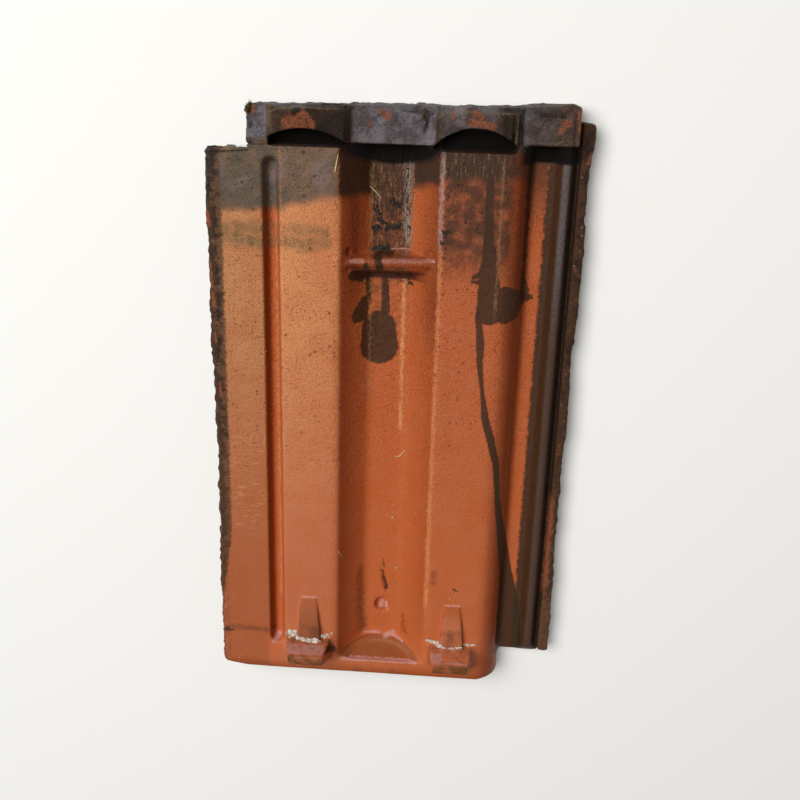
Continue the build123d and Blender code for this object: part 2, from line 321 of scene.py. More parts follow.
def off_line(x, y, start, end):
    """Distance of each point, seen from above, from the line between two places."""
    run = np.subtract(end, start)
    share = ((x - start[0]) * run[0] + (y - start[1]) * run[1]) / max(run @ run, 1e-9)
    share = np.clip(share, 0, 1)
    return np.hypot(x - start[0] - share * run[0], y - start[1] - share * run[1])


print("noise sample:", lumps(np.array([[1.5, 2.5, 3.5]]), 2.0, 1))

# %% [markdown]
# ## A fine skin of the tile
# To show chips and crumbling edges the surface needs many small faces everywhere. The measured
# model stays as it is, so a copy is rebuilt on an even grid of little cubes (a voxel remesh).
# Subdividing would keep the long thin faces of a CAD mesh, and they tear when they are moved.
# At the end the flat stretches are thinned out again, because they need few faces.

# %% A fine skin of the tile
GRAIN = 0.0008
MOST_TRIANGLES = 188000


def applied(piece):
    graph = bpy.context.evaluated_depsgraph_get()
    made = bpy.data.meshes.new_from_object(piece.evaluated_get(graph))
    rough = piece.data
    piece.modifiers.clear()
    piece.data = made
    bpy.data.meshes.remove(rough)
    return piece


def fine_copy(node, name, grain):
    skin = put_in_scene(name, node.data.copy())
    skin.data.materials.clear()
    remesh = skin.modifiers.new("even grain", "REMESH")
    remesh.mode = "VOXEL"
    remesh.voxel_size = grain
    return applied(skin)


def read_skin(mesh):
    points = np.empty(len(mesh.vertices) * 3)
    mesh.vertices.foreach_get("co", points)
    facing = np.empty(len(mesh.vertices) * 3)
    mesh.vertex_normals.foreach_get("vector", facing)
    shift = (TILE_WIDTH / 2, TILE_LENGTH / 2, -FACE_HEIGHT)
    return points.reshape(-1, 3) / MM + shift, facing.reshape(-1, 3)


skin = fine_copy(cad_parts["clay_tile"], "clay_skin", GRAIN)
places, facing = read_skin(skin.data)
print("skin points:", len(places), "lowest", places.min(0), "highest", places.max(0))

# %% [markdown]
# ## Soft pressed corners
# Wet clay never fills a mould's corners sharply, and a century of rain rounds them further. Each
# point is drawn a little towards the middle of its neighbours, again and again, most in the
# trough and on the slope beside the cover roll, least at the nibs and the lip. A bevel would need
# the remeshed corners as clean edges, which they no longer are.

# %% Soft pressed corners
SOFTENING_ROUNDS = 48


def neighbours(mesh):
    ends = np.empty(len(mesh.edges) * 2, dtype=np.int64)
    mesh.edges.foreach_get("vertices", ends)
    return ends.reshape(-1, 2)


def softened(spots, edges, pull, rounds):
    first, second = edges.T
    count = len(spots)

    def summed(at_first, at_second):
        return np.bincount(first, at_second, count) + np.bincount(second, at_first, count)

    meetings = np.maximum(summed(None, None), 1)
    spots = spots.copy()
    for _ in range(rounds):
        for axis in range(3):
            column = spots[:, axis]
            total = summed(column[first], column[second])
            spots[:, axis] = column + pull * (total / meetings - column)
    return spots


x, y, level = places.T
underside = ease(facing[:, 2], -0.35, 0.05)
trough = between(x, 84, 159, 2) * (between(y, 26, 306, 3) + between(y, 329, 391, 2))
end_slope = between(x, 88, 154, 3) * between(y, 13, 29, 2)
right_slope = between(x, 191, 213, 2) * between(y, 8, 391, 2)
elsewhere = between(y, 4, 392, 2) * (1 - ease(level, 0.8, 2.0))
pulls = (0.8 * trough, 0.45 * end_slope, 0.8 * right_slope, 0.12 * elsewhere)
pull = underside * np.maximum.reduce(pulls)
# the round dimple keeps its crisp rim
pull *= ease(np.hypot(x - 121.5, y - 47), 7.5, 11)
measured = places
places = softened(places, neighbours(skin.data), pull, SOFTENING_ROUNDS)
print("corners moved by up to", round(np.abs(places - measured).max(), 2), "mm")

# %% [markdown]
# ## Where the clay is rough
# Pressed faces come out of the mould smooth. Rough are the trimmed or broken edges: the flange's
# left edge, the strip at the right edge, the sunk blocks of the lip, the foot's end face and the
# nibs' tips. Each gets a mask from its stations, and the lumps move the surface along its normal.

# %% Rough places
x, y, level = places.T
left_edge = (1 - ease(x, 2.0, 8.0)) * ease(level, -12.5, -10.5)
right_strip = ease(x, 242.5, 244.5) * ease(level, -26, -16)
ARCH_SPANS = ((41.4, 94.5), (147.2, 201.0))
arch_span = np.maximum(*(between(x, low, high, 1.2) for low, high in ARCH_SPANS))
lip = ease(y, 393, 396) * ease(x, 26, 28) * (1 - ease(x, 240, 242))
blocks = lip * (1 - arch_span) * between(level, -9.5, -3, 1.5)
foot_end = ease(y, 413, 418) * ease(facing[:, 1], 0.2, 0.7)
flange_end = between(y, 385, 394, 2) * (1 - ease(x, 27, 31)) * ease(level, -13, -11)
nib_tips = ease(level, 12, 18)
crust = between(x, 105, 135, 3) * between(y, 250, 385, 20) * between(level, -22, -18)


def roughness_of(mask, coarse, fine, seed):
    """Two sizes of lumps, together at most coarse + fine mm high, where the mask is open."""
    chosen = np.flatnonzero(mask > 0.01)
    height = np.zeros(len(mask))
    spot = places[chosen]
    rough = coarse * lumps(spot, 5.5, seed) + fine * lumps(spot, 2.3, seed + 1)
    height[chosen] = mask[chosen] * rough
    return height


raised = 0.10 * lumps(places, 28, 3) + 0.05 * lumps(places, 7, 5)
for rough_mask, coarse, fine, seed in (
    (left_edge, 0.7, 0.5, 11),
    (right_strip, 0.7, 0.5, 21),
    (blocks, 0.35, 0.3, 31),
    (foot_end, 0.6, 0.5, 41),
    (flange_end, 0.8, 0.6, 51),
    (nib_tips, 0.45, 0.3, 61),
):
    raised += roughness_of(rough_mask, coarse, fine, seed)
raised += roughness_of(crust, 0.25, 0.45, 71) + roughness_of(crust, 0.0, 0.3, 75)
print("rough places moved between", raised.min(), "and", raised.max(), "mm")

# %% [markdown]
# ## Chips, cuts and wear
# Single marks are placed one by one: the gouge above the dimple, the cracks, the chips in the lip,
# and the wavy outline that a century of handling leaves. A chip lowers the surface along its
# normal, while the outline is moved sideways, since an edge seen from above only shows that.

# %% Chips, cuts and wear
# each mark: start across and along, end across and along, half width, depth
UPPER_MARKS = (
    ((119.8, 79), (121.5, 72), 1.1, 1.2),
    ((121.5, 72), (124, 63.5), 1.7, 2.0),
    ((121, 88), (121, 84), 0.9, 0.7),
    ((57, 412), (61, 416), 3.0, 1.3),
    ((50, 409), (70, 410), 2.4, 0.5),
    ((113, 412), (120, 417), 2.6, 0.9),
    ((105, 403), (108, 410), 1.2, 0.9),
    ((128, 417.5), (146, 416), 1.2, 1.4),
    ((142, 406), (144, 412), 1.4, 1.6),
    ((155, 414), (158, 416), 1.8, 0.7),
    ((168, 412), (186, 413), 2.5, 0.5),
    ((197.5, 401), (197.5, 417), 0.7, 0.8),
    ((201.5, 400), (201.5, 418), 0.8, 0.9),
    ((222, 404), (231, 415), 2.2, 0.8),
    ((236.5, 398), (236.5, 417), 0.7, 0.7),
    ((27, 406), (30, 409), 2.0, 1.8),
    ((28, 413), (31, 417), 1.6, 1.3),
    ((2, 391.5), (27, 394.5), 1.0, 1.3),
    ((3, 388), (26, 390.5), 0.7, 0.7),
    ((0, 31.5), (5, 32.5), 1.2, 2.4),
    ((83, 27), (86, 22), 2.0, 1.0),
)


def worn_down():
    depth = np.zeros(len(places))
    for start, end, half_width, dig in UPPER_MARKS:
        away = off_line(x, y, start, end)
        ragged = away + 0.5 * lumps(places, 1.9, int(start[0]))
        depth = np.maximum(depth, dig * (1 - ease(ragged, 0.3 * half_width, 1.3 * half_width)))
    return depth * underside


PIT_DEPTH = 0.28


def pitted():
    """Scattered shallow pits where grit fell out of the pressed face."""
    open_face = underside * ease(y, 120, 200) * (1 - ease(y, 392, 395)) * ease(level, -4, -1)
    holes = ease(lumps(places, 2.8, 83), 0.62, 0.86) + ease(lumps(places, 4.4, 87), 0.72, 0.9)
    return PIT_DEPTH * open_face * holes


raised -= worn_down() + pitted()
print("deepest mark:", raised.min(), "mm")

# %% [markdown]
# ## Steps the press left
# Round the thumb recess and the pads the clay stands a millimetre higher or lower, the tie bar is
# rounded on top, and the arches' fronts are rubbed down. All this is too slight for the solids.

# %% Relief on end wall, pads and bar, and the arches' worn fronts
THUMB_MIDDLE = (121.0, 11.6)
THUMB_RADII = (26.0, 9.5)
FRONT_BOW = 2.4
FRONT_LINE = 418.6
FRONT_DROP = 2.2

thumb = np.hypot((x - THUMB_MIDDLE[0]) / THUMB_RADII[0], (y - THUMB_MIDDLE[1]) / THUMB_RADII[1])
end_wall = between(y, 11, 24) * between(level, -19, -1, 1.5) * underside * between(x, 88, 154, 2)
raised -= 1.5 * end_wall * (1 - ease(thumb, 0.86, 1.0))

# each pad: station of its middle; it narrows from the end near the nib to its far end
PADS = (67.2, 175.2)
PAD_ENDS = (29.0, 64.0)
PAD_HALVES = (8.6, 5.6)
PAD_STEP = 0.8
for station in PADS:
    half = np.interp(y, PAD_ENDS, PAD_HALVES)
    on_pad = (1 - ease(np.abs(x - station), half - 0.4, half + 0.4)) * between(y, *PAD_ENDS, 0.6)
    raised += PAD_STEP * on_pad * ease(level, -1.5, -0.5) * (1 - ease(level, 5.5, 7.5))

# the tie bar is a roll, a little nearer the foot at its right end
BAR_HALF = 5.0
on_bar = between(x, 92.8, 149.6, 1.5) * between(y, 313.5, 329, 0.8)
on_bar *= between(level, -7.5, -3.2, 0.8)
off_crest = (y - (320.6 + 0.04 * (x - 91))) / BAR_HALF
raised -= np.minimum(1.5 * off_crest**2, 2.0) * on_bar

sunk = np.zeros(len(places))
for low, high in ARCH_SPANS:
    off_middle = (x - (low + high) / 2) / ((high - low) / 2)
    front = FRONT_LINE - FRONT_BOW * off_middle**2 + 0.5 * lumps(places, 6, 91)
    inside = between(x, low - 2, high + 1, 1.0) * ease(level, -4.5, -2.5)
    sunk = np.maximum(sunk, FRONT_DROP * inside * ease(y, front - 1.8, front + 1.4))
print("arch fronts worn down by up to", round(sunk.max(), 2), "mm")

# %% [markdown]
# ## The outline
# The pressed seam was cut by hand and then knocked for a century, so no edge is straight. Tables
# of how far the edge stands in at each station give that, smoothly joined and with waves added.

# %% The outline seen from above
# along the tile, then how far the edge stands in, both in mm
LEFT_WEAR = ((0, 0), (25, 0.2), (60, 0.2), (100, 0.6), (150, 0.9), (170, 1.4), (183, 1.9),
             (196, 0.8), (215, 0.4), (235, 0.9), (258, -0.5), (300, 0), (420, 0))
RIGHT_WEAR = ((0, 0), (55, 0), (90, 0.8), (120, 1.6), (185, 2.0), (215, 1.0), (250, 1.9),
              (262, 2.4), (275, 0.8), (340, 0.2), (360, 1.8), (385, 1.6), (398, 0), (420, 0))
FOOT_SKEW = ((28, -0.9), (60, 0.2), (150, 1.4), (200, 2.6), (232, 4.2), (240, 3.6), (250, 2.0))


def along_table(value, table):
    return np.interp(value, *np.transpose(table))


left_side = 1 - ease(x, 1.0, 7.0)
right_side = ease(x, 243.0, 249.0)
wave = 0.55 * lumps(places, 11, 101) + 0.4 * lumps(places, 4, 103)
side_shift = left_side * (along_table(y, LEFT_WEAR) + wave)
side_shift -= right_side * (along_table(y, RIGHT_WEAR) + wave)
side_shift -= 2.0 * (1 - ease(x, 28, 36)) * ease(y, 393, 396) * ease(x, 20, 27)
foot_shift = ease(y, 407, 418) * along_table(x, FOOT_SKEW)
foot_shift += ease(y, 412, 419) * 0.6 * lumps(places, 6, 107)
worn_corner = (1 - ease(x, 4, 22)) * (1 - ease(y, 4, 12))
foot_shift += 2.0 * worn_corner
print("ends moved along by", foot_shift.min(), "to", foot_shift.max(), "mm")

# %% [markdown]
# ## Move the skin
# All masks are ready, so the points move once: out along their normals, then sideways and along.

# %% Move the skin and thin it out
GAP_TO_FLOOR = 0.05

places = places + facing * raised[:, None]
places[:, 0] += side_shift
places[:, 1] += foot_shift
places[:, 2] -= sunk
np.maximum(places[:, 2], GAP_TO_FLOOR - FACE_HEIGHT, out=places[:, 2])


def triangles_of(piece):
    return sum(len(face.vertices) - 2 for face in piece.data.polygons)


def smooth(piece):
    piece.data.polygons.foreach_set("use_smooth", [True] * len(piece.data.polygons))


def write_skin(piece, spots, most):
    back = (spots - (TILE_WIDTH / 2, TILE_LENGTH / 2, -FACE_HEIGHT)) * MM
    piece.data.vertices.foreach_set("co", back.ravel())
    piece.data.update()
    thin = piece.modifiers.new("fewer faces on flats", "DECIMATE")
    thin.ratio = min(1.0, most / triangles_of(piece))
    applied(piece)
    smooth(piece)


write_skin(skin, places, MOST_TRIANGLES)
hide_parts("clay_tile")
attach(skin, "root")
print("skin triangles:", triangles_of(skin))

# %% [markdown]
# ## Marks on the clay
# Stains, runs, thin dark lines and painted highlights are long soft shapes. A picture could be
# painted and wrapped round the tile, but it would blur close up. Instead each mark is a line
# between two places with a width at either end, and the shader works out how far each point is
# from it. Several lines joined by "nearest wins" make a run or a blot, and noise on the distance
# makes its rim ragged.

# %% Shader groups for marks, bands, grain and specks
def make_line_group():
    inputs = {"Point": PLACE, "From": PLACE, "To": PLACE}
    inputs |= {"Half width at start": NUMBER, "Half width at end": NUMBER}
    g, entry, leave = start_group("distance from a mark", inputs, {"Distance": NUMBER})
    run = g.vector("SUBTRACT", entry["To"], entry["From"])
    here = g.vector("SUBTRACT", entry["Point"], entry["From"])
    along_run = g.vector("DOT_PRODUCT", here, run, output="Value")
    run_squared = g.vector("DOT_PRODUCT", run, run, output="Value")
    share = g.held(g.math("DIVIDE", along_run, run_squared))
    away = g.vector("DISTANCE", here, g.stretched(run, share), output="Value")
    wider = g.math("SUBTRACT", entry["Half width at end"], entry["Half width at start"])
    half = g.scaled(share, wider, entry["Half width at start"])
    g.feed(g.math("SUBTRACT", away, half), leave["Distance"])
    return g.tree


def make_band_group():
    inputs = {"Value": NUMBER, "Low": NUMBER, "High": NUMBER, "Softness": NUMBER}
    g, entry, leave = start_group("band between two stations", inputs, {"Mask": NUMBER})
    soft = entry["Softness"]
    low_edge = g.math("SUBTRACT", entry["Value"], entry["Low"])
    high_edge = g.math("SUBTRACT", entry["High"], entry["Value"])
    inside = g.math("MINIMUM", low_edge, high_edge)
    g.feed(g.limits(inside, g.math("MULTIPLY", soft, -1.0), soft), leave["Mask"])
    return g.tree


def make_grain_group():
    inputs = {"Point": PLACE, "Coarse size": NUMBER, "Fine size": NUMBER}
    outputs = {"Cloud": NUMBER, "Grain": NUMBER, "Height": NUMBER}
    g, entry, leave = start_group("clay grain", inputs, outputs)
    coarse = g.vector("DIVIDE", entry["Point"], entry["Coarse size"])
    fine = g.vector("DIVIDE", entry["Point"], entry["Fine size"])
    cloud = g.noise(coarse, 1.0, detail=3.0, roughness=0.6)
    grain = g.noise(fine, 1.0, detail=3.0, roughness=0.65)
    g.feed(cloud, leave["Cloud"])
    g.feed(grain, leave["Grain"])
    g.feed(g.scaled(cloud, 0.6, grain), leave["Height"])
    return g.tree


def make_speck_group():
    inputs = {"Point": PLACE, "Spacing": NUMBER, "Share": NUMBER, "Radius": NUMBER}
    g, entry, leave = start_group("scattered specks", inputs, {"Mask": NUMBER})
    spread = g.vector("DIVIDE", entry["Point"], entry["Spacing"])
    cell = g.node("ShaderNodeTexVoronoi", {"Vector": spread, "Scale": 1.0})
    dice = g.node("ShaderNodeSeparateColor", {"Color": cell.outputs["Color"]}).outputs
    kept = g.math("LESS_THAN", dice["Red"], entry["Share"])
    size = g.math("MULTIPLY", entry["Radius"], g.math("ADD", dice["Green"], 0.4))
    inner = g.math("MULTIPLY", size, 0.5)
    spot = g.limits(cell.outputs["Distance"], inner, size, 1.0, 0.0)
    g.feed(g.math("MULTIPLY", spot, kept), leave["Mask"])
    return g.tree


LINE_GROUP = make_line_group()
BAND_GROUP = make_band_group()
GRAIN_GROUP = make_grain_group()
SPECK_GROUP = make_speck_group()
print("groups:", [tree.name for tree in bpy.data.node_groups])

# %% [markdown]
# ## A painter
# Every stain is the same move: some masks multiplied, then a colour laid on. The painter keeps
# the colour so far, so a layer is one line that reads like a note of where the stain lies.

# %% Placing the groups in a material
class Painter(Wiring):
    """Wiring that places the groups above and keeps the colour painted so far.

    A mask is a known value (its name) with numbers behind it. Two numbers open the mask smoothly
    from the first to the second, and with four it runs between the third and the fourth. Three
    numbers are a band: from, to and softness. Masks given together are multiplied.
    """

    def __init__(self, tree, colour, known):
        super().__init__(tree)
        self.colour = colour
        self.known = known

    def __getitem__(self, name):
        return self.known[name]

    def other(self, colour):
        return Painter(self.tree, colour, self.known)

    def placed(self, group, inputs):
        made = self.node("ShaderNodeGroup")
        made.node_tree = group
        for key, value in inputs.items():
            self.feed(value, made.inputs[key])
        return made.outputs

    def band(self, value, low, high, soft):
        inputs = {"Value": value, "Low": low, "High": high, "Softness": soft}
        return self.placed(BAND_GROUP, inputs)["Mask"]

    def specks(self, point, spacing, share, radius):
        inputs = {"Point": point, "Spacing": spacing, "Share": share, "Radius": radius}
        return self.placed(SPECK_GROUP, inputs)["Mask"]

    def marks(self, lines, soft, fray):
        """Open inside any of the lines. Each line: across, along, half width at both ends."""
        nearest = None
        for x0, y0, half0, x1, y1, half1 in lines:
            inputs = {"Point": self["flat"], "From": (x0, y0, 0), "To": (x1 + 0.01, y1, 0)}
            inputs["Half width at start"] = half0
            inputs["Half width at end"] = half1
            away = self.placed(LINE_GROUP, inputs)["Distance"]
            nearest = away if nearest is None else self.math("MINIMUM", nearest, away)
        return self.limits(self.scaled(self["rag"], fray, nearest), -soft, soft, 1.0, 0.0)

    def one_mask(self, part):
        if isinstance(part, str):
            return self[part]
        if not isinstance(part, tuple):
            return part
        value, *numbers = part
        make = self.band if len(numbers) == 3 else self.limits
        return make(self.one_mask(value), *numbers)

    def mask(self, *parts):
        result = self.one_mask(parts[0])
        for part in parts[1:]:
            result = self.math("MULTIPLY", result, self.one_mask(part))
        return result

    def either(self, first, second):
        return self.math("ADD", self.one_mask(first), self.one_mask(second))

    def most(self, *values):
        result = values[0]
        for value in values[1:]:
            result = self.math("MAXIMUM", result, value)
        return result

    def off_oval(self, middle, radii):
        """From 0 at the middle of an oval on the tile to 1 at its rim and on beyond it."""
        shares = (1 / radii[0], 1 / radii[1], 0)
        away = self.vector("MULTIPLY", self.vector("SUBTRACT", self["flat"], (*middle, 0)), shares)
        return self.vector("LENGTH", away, output="Value")

    def coat(self, tone, amount, *masks, blend="MIX"):
        """Paint over the colour where the masks are open."""
        mask = self.mask(*masks)
        mask = mask if amount == 1 else self.math("MULTIPLY", mask, amount)
        self.colour = self.paint(self.colour, tone, mask, blend)

    def tint(self, tone, amount, *masks):
        """Change the colour as stained glass would where the masks are open."""
        self.coat((*tone, 1.0), amount, *masks, blend="MULTIPLY")

    def surface(self, rough, height, strength, relief, shine):
        """End the material: fine relief up to relief metres high, under the colour so far."""
        inputs = {"Strength": strength, "Distance": relief, "Height": height}
        bump = self.node("ShaderNodeBump", inputs).outputs[0]
        inputs = {"Base Color": self.colour, "Roughness": rough, "Normal": bump}
        inputs["Specular IOR Level"] = shine
        body = self.node("ShaderNodeBsdfPrincipled", inputs)
        self.node("ShaderNodeOutputMaterial", {"Surface": body.outputs[0]})


print("painter's words:", [word for word in vars(Painter) if not word.startswith("_")])

# %% [markdown]
# ## Weathered fired clay
# The tile hung with its foot in the weather and its head covered. So the head end is clean damp
# orange clay, the foot end is grown over grey and brown, and rain has run dark stripes from the
# foot towards the head. The colour is built in that order: clay, sun-bleached tones and painted
# shade on the walls, the weathered zone, stains, then the lip with its chips, the dirt of the
# broken edges, and near the end painted black shade in the corners that face the head.

# %% Clay colours
CLAY_DEEP = from_picture(184, 92, 45)
CLAY_LIGHT = from_picture(214, 142, 91)
CLAY_PINK = from_picture(190, 112, 78)
WEATHER_GREY = from_picture(94, 82, 68)
WEATHER_BROWN = from_picture(63, 41, 28)
STAIN = from_picture(60, 37, 19)
RUN_BLACK = from_picture(44, 33, 19)
CRUST_BROWN = from_picture(98, 66, 42)
CRUST_PALE = from_picture(156, 150, 142)
# the trough's left wall at the foot: weathered, and darkened by painted shade
SHADED_FOOT_WALL = from_picture(54, 28, 11)
# a painted highlight along the second panel's lit left edge near the foot
LILAC_EDGE_HIGHLIGHT = from_picture(176, 148, 138)
BAR_SHADE = from_picture(44, 14, 5)
COVER_DARK = from_picture(46, 35, 20)
EDGE_BROWN = from_picture(94, 64, 41)
# dark dirt on broken edges and in cracks, and painted black shade in slits and deep corners
EDGE_DIRT_AND_SHADE = from_picture(26, 18, 12)
# painted black shade for corners that face the head
PAINTED_SHADE_BLACK = from_picture(4, 2, 1)
LIP_BROWN = from_picture(78, 58, 42)
LIP_PURPLE = from_picture(113, 107, 112)
# a painted highlight on the first arch's lit left flank
LIP_GOLD_HIGHLIGHT = from_picture(106, 88, 60)
CHIP_ORANGE = from_picture(138, 77, 48)
STRAW_PALE = from_picture(158, 122, 84)
# painted highlights on wet crests, beads and rims
PINK_HIGHLIGHT = from_picture(190, 138, 128)
# a painted grey reflection on the cover rib's crest
RIB_REFLECTION_GREY = from_picture(101, 95, 94)
# painted lilac reflections on the lip and the foot end
LILAC_REFLECTION = from_picture(132, 118, 122)
NIB_OLIVE = from_picture(104, 62, 32)
TIDE_OLIVE = from_picture(112, 92, 62)
# painted highlights on the lip's lit edges
OLIVE_HIGHLIGHT = from_picture(112, 96, 68)
# pale painted glints on sandy clay
GLINT_PALE = from_picture(176, 148, 122)
LICHEN = from_picture(150, 148, 128)
BACK_BROWN = from_picture(124, 86, 62)

# %% [markdown]
# ## The marks' places
# Blots, runs, chips and painted highlights, each as a short line with a half width at both ends.
# Noise alone could scatter such marks, but then none would lie where this tile has it.

# %% Marks, read off the tile with a ruler
# each line: across, along, half width, then the same for its other end
def chain(*stops):
    """Lines that join each stop (across, along, half width) to the next."""
    return tuple((*start, *end) for start, end in zip(stops, stops[1:]))


BLOT_RIGHT = (
    (187.2, 331, 4.2, 187, 318, 6.5), (183, 316.5, 2.6, 177.5, 314.5, 1.8),
    (184, 311, 2.5, 176.5, 311.3, 1.2), (187.5, 312, 7, 189, 291, 8.8),
    (198, 297, 11.5, 200, 294, 11), (206, 298, 7.5, 217, 298, 1.6),
    (212, 303, 3.2, 209.6, 317, 0.9),
)
STRIPE_RIGHT = chain((184.5, 377, 2.6), (185.5, 345, 3.0), (186, 325, 4.2))
RUN_RIGHT = chain(
    (181.5, 290, 2.0), (184.3, 268, 2.8), (184.4, 256, 2.2), (187.5, 234, 1.3),
    (190.2, 216, 2.8), (195.5, 198, 2.8), (200.5, 178, 2.4), (203, 150, 2.0),
    (207.5, 122, 3.0), (213, 88, 4.6), (217.5, 55, 8.5), (219, 18, 10),
)
BLOTS_TROUGH = (
    (114, 272, 11.5, 114.5, 258, 13.0), (118, 284, 3.2, 117.4, 306, 2.2),
    (104.5, 291, 3.6, 100.5, 281, 5.0), (106.5, 292, 1.6, 105.5, 318, 2.0),
    (96, 310, 2.6, 101, 307, 2.6), (112.6, 324, 2.4, 114.6, 317.5, 2.8),
)
CRUST_SPOTS = (
    (112.5, 347, 1.6, 113.5, 345, 1.0), (118, 344, 1.0, 125, 342, 1.6),
    (109, 340, 1.2, 110, 338, 0.6), (121, 358, 1.6, 126, 357, 1.0),
    (114, 327, 2.2, 121, 326, 2.4), (130, 304, 1.4, 135, 304, 1.0),
    (155, 340, 1.4, 159, 344, 1.8), (155, 337, 1.0, 156, 336, 1.6),
)
CHIPS = (
    (54, 409, 4.0, 60, 413, 3.4), (60, 408.8, 3.6, 69.5, 407.6, 2.8),
    (64, 414.5, 2.4, 67.5, 411.5, 2.4), (30, 419, 1.6, 30.8, 415, 1.8),
    (113.5, 417, 2.2, 117, 414.5, 2.6), (104, 404.8, 0.5, 107, 410.6, 0.7),
    (158.7, 419, 0.8, 158.8, 415.8, 0.9), (172, 418.5, 2.0, 176.5, 416, 2.2),
    (170, 413, 2.2, 184, 410.8, 2.4), (226, 407, 0.9, 228.5, 410.5, 1.3),
    (229, 413.6, 2.0, 231.5, 413.6, 2.2), (238.6, 420, 1.4, 239.2, 409, 1.2),
    (249, 394, 1.4, 247, 389, 1.2),
)
EDGE_CHIPS = (
    (0.2, 350, 1.3, 0.8, 343, 2.6), (1.5, 316, 0.8, 2.0, 300, 1.0),
    (2.5, 296, 1.0, 3, 287, 1.4), (5.2, 232, 0.8, 5.6, 222, 1.1),
    (3.0, 268, 0.6, 3.6, 262, 1.0),
)
# the lines at 88 and 192 across are painted shade on the arches' right flanks
LIP_DARKS = (
    (88, 399, 3.0, 88, 415, 2.6), (57.5, 414.6, 1.1, 61.5, 416.7, 1.5),
    (61.6, 412, 0.4, 62.2, 407, 0.5), (66.4, 411, 0.35, 67.2, 406.5, 0.4),
    (128, 418, 0.6, 146, 416.5, 0.9), (141, 418, 1.6, 143, 408, 1.0),
    (192, 401, 1.6, 192, 416, 1.8), (197, 400, 0.5, 197, 418, 0.5),
    (202, 398, 0.8, 202, 419, 0.8), (29, 405, 1.6, 29.5, 408, 1.2),
    (236, 398, 0.5, 236, 418, 0.5), (214, 418, 0.9, 229, 417.6, 0.7),
)
# painted highlights on lit edges of the blocks, the first arch's left flank and the arches' fronts
GOLD_HIGHLIGHTS = (
    (34, 397.5, 0.7, 38, 397.5, 1.2),
    *chain((206, 398.4, 0.6), (222, 399.0, 1.0), (229, 402.5, 0.6)),
    (199.6, 401, 0.7, 199.6, 417, 0.7), (40.6, 401, 0.9, 41.2, 413, 0.8),
    *chain((41.2, 413, 0.7), (46, 417.2, 0.5), (64, 418.4, 0.4), (86, 418.2, 0.4)),
    *chain((150, 415, 0.5), (157, 418.6, 0.5), (180, 419.4, 0.4), (198, 418.6, 0.5)),
)
# painted highlights: the tie bar's crest and a bead beside it, the groove's end, beads along the
# trough's end wall, the pads' top edges and the dimple
PAINTED_HIGHLIGHTS = (
    (95.4, 320.7, 1.5, 103, 321.0, 1.5), (117, 321.6, 1.3, 150.4, 323.0, 1.1),
    (121, 327.2, 0.5, 133.6, 327.6, 0.6), (39.6, 22.4, 1.2, 42.6, 26.5, 2.2),
    (93, 11.2, 0.8, 149, 11.4, 0.8), (92, 11.0, 1.2, 106, 10.8, 0.9),
    (124, 22.5, 1.6, 130, 25.5, 1.8), (130, 23, 1.2, 138, 20.5, 0.5),
    (107, 24.5, 0.8, 112, 24.2, 0.6), (114.5, 24.6, 1.2, 119, 24.4, 0.8),
    (61.5, 64.2, 0.5, 73, 64.4, 0.5), (169.5, 64.2, 0.5, 180.5, 64.4, 0.45),
    (119, 46, 1.8, 121, 50, 1.4), (123.5, 49, 1.2, 124.5, 45.5, 1.0),
)
THIN_DARKS = (
    *chain((4.8, 389, 0.7), (5.6, 350, 1.2), (6.0, 300, 1.0), (5.5, 250, 1.4)),
    *chain((5.5, 250, 1.4), (7.5, 214, 1.8), (8.5, 190, 1.2)),
    (3, 140, 1.2, 3.5, 110, 1.6), (0, 392, 1.0, 30, 395.5, 0.9),
    (4, 389, 0.5, 28, 391, 0.6), (82, 25, 0.8, 86, 19, 2.0),
    (120.5, 79, 0.9, 124, 63.5, 1.4), (121.4, 88, 0.4, 121.4, 83, 0.8),
    (175, 78, 1.2, 178, 77, 0.6), (1.5, 31.0, 1.6, 8.5, 31.4, 0.8),
)
SMUDGES = (
    (8, 34.0, 1.6, 38, 33.2, 2.0), (104, 84, 1.5, 104, 55, 3.2),
    (104, 50, 2.6, 106, 30, 3.4), (137, 42, 1.0, 139, 30, 1.6),
    (160, 92, 1.2, 160.5, 82, 1.6),
)
print("marks:", sum(map(len, (BLOT_RIGHT, RUN_RIGHT, CHIPS, LIP_DARKS, PAINTED_HIGHLIGHTS))), "of them")

# %% [markdown]
# ## What the stains depend on
# A stain needs to know where on the tile it is, how ragged its edge may be and how the clay is
# grained there. These values are worked out once, and every layer reads them by name.

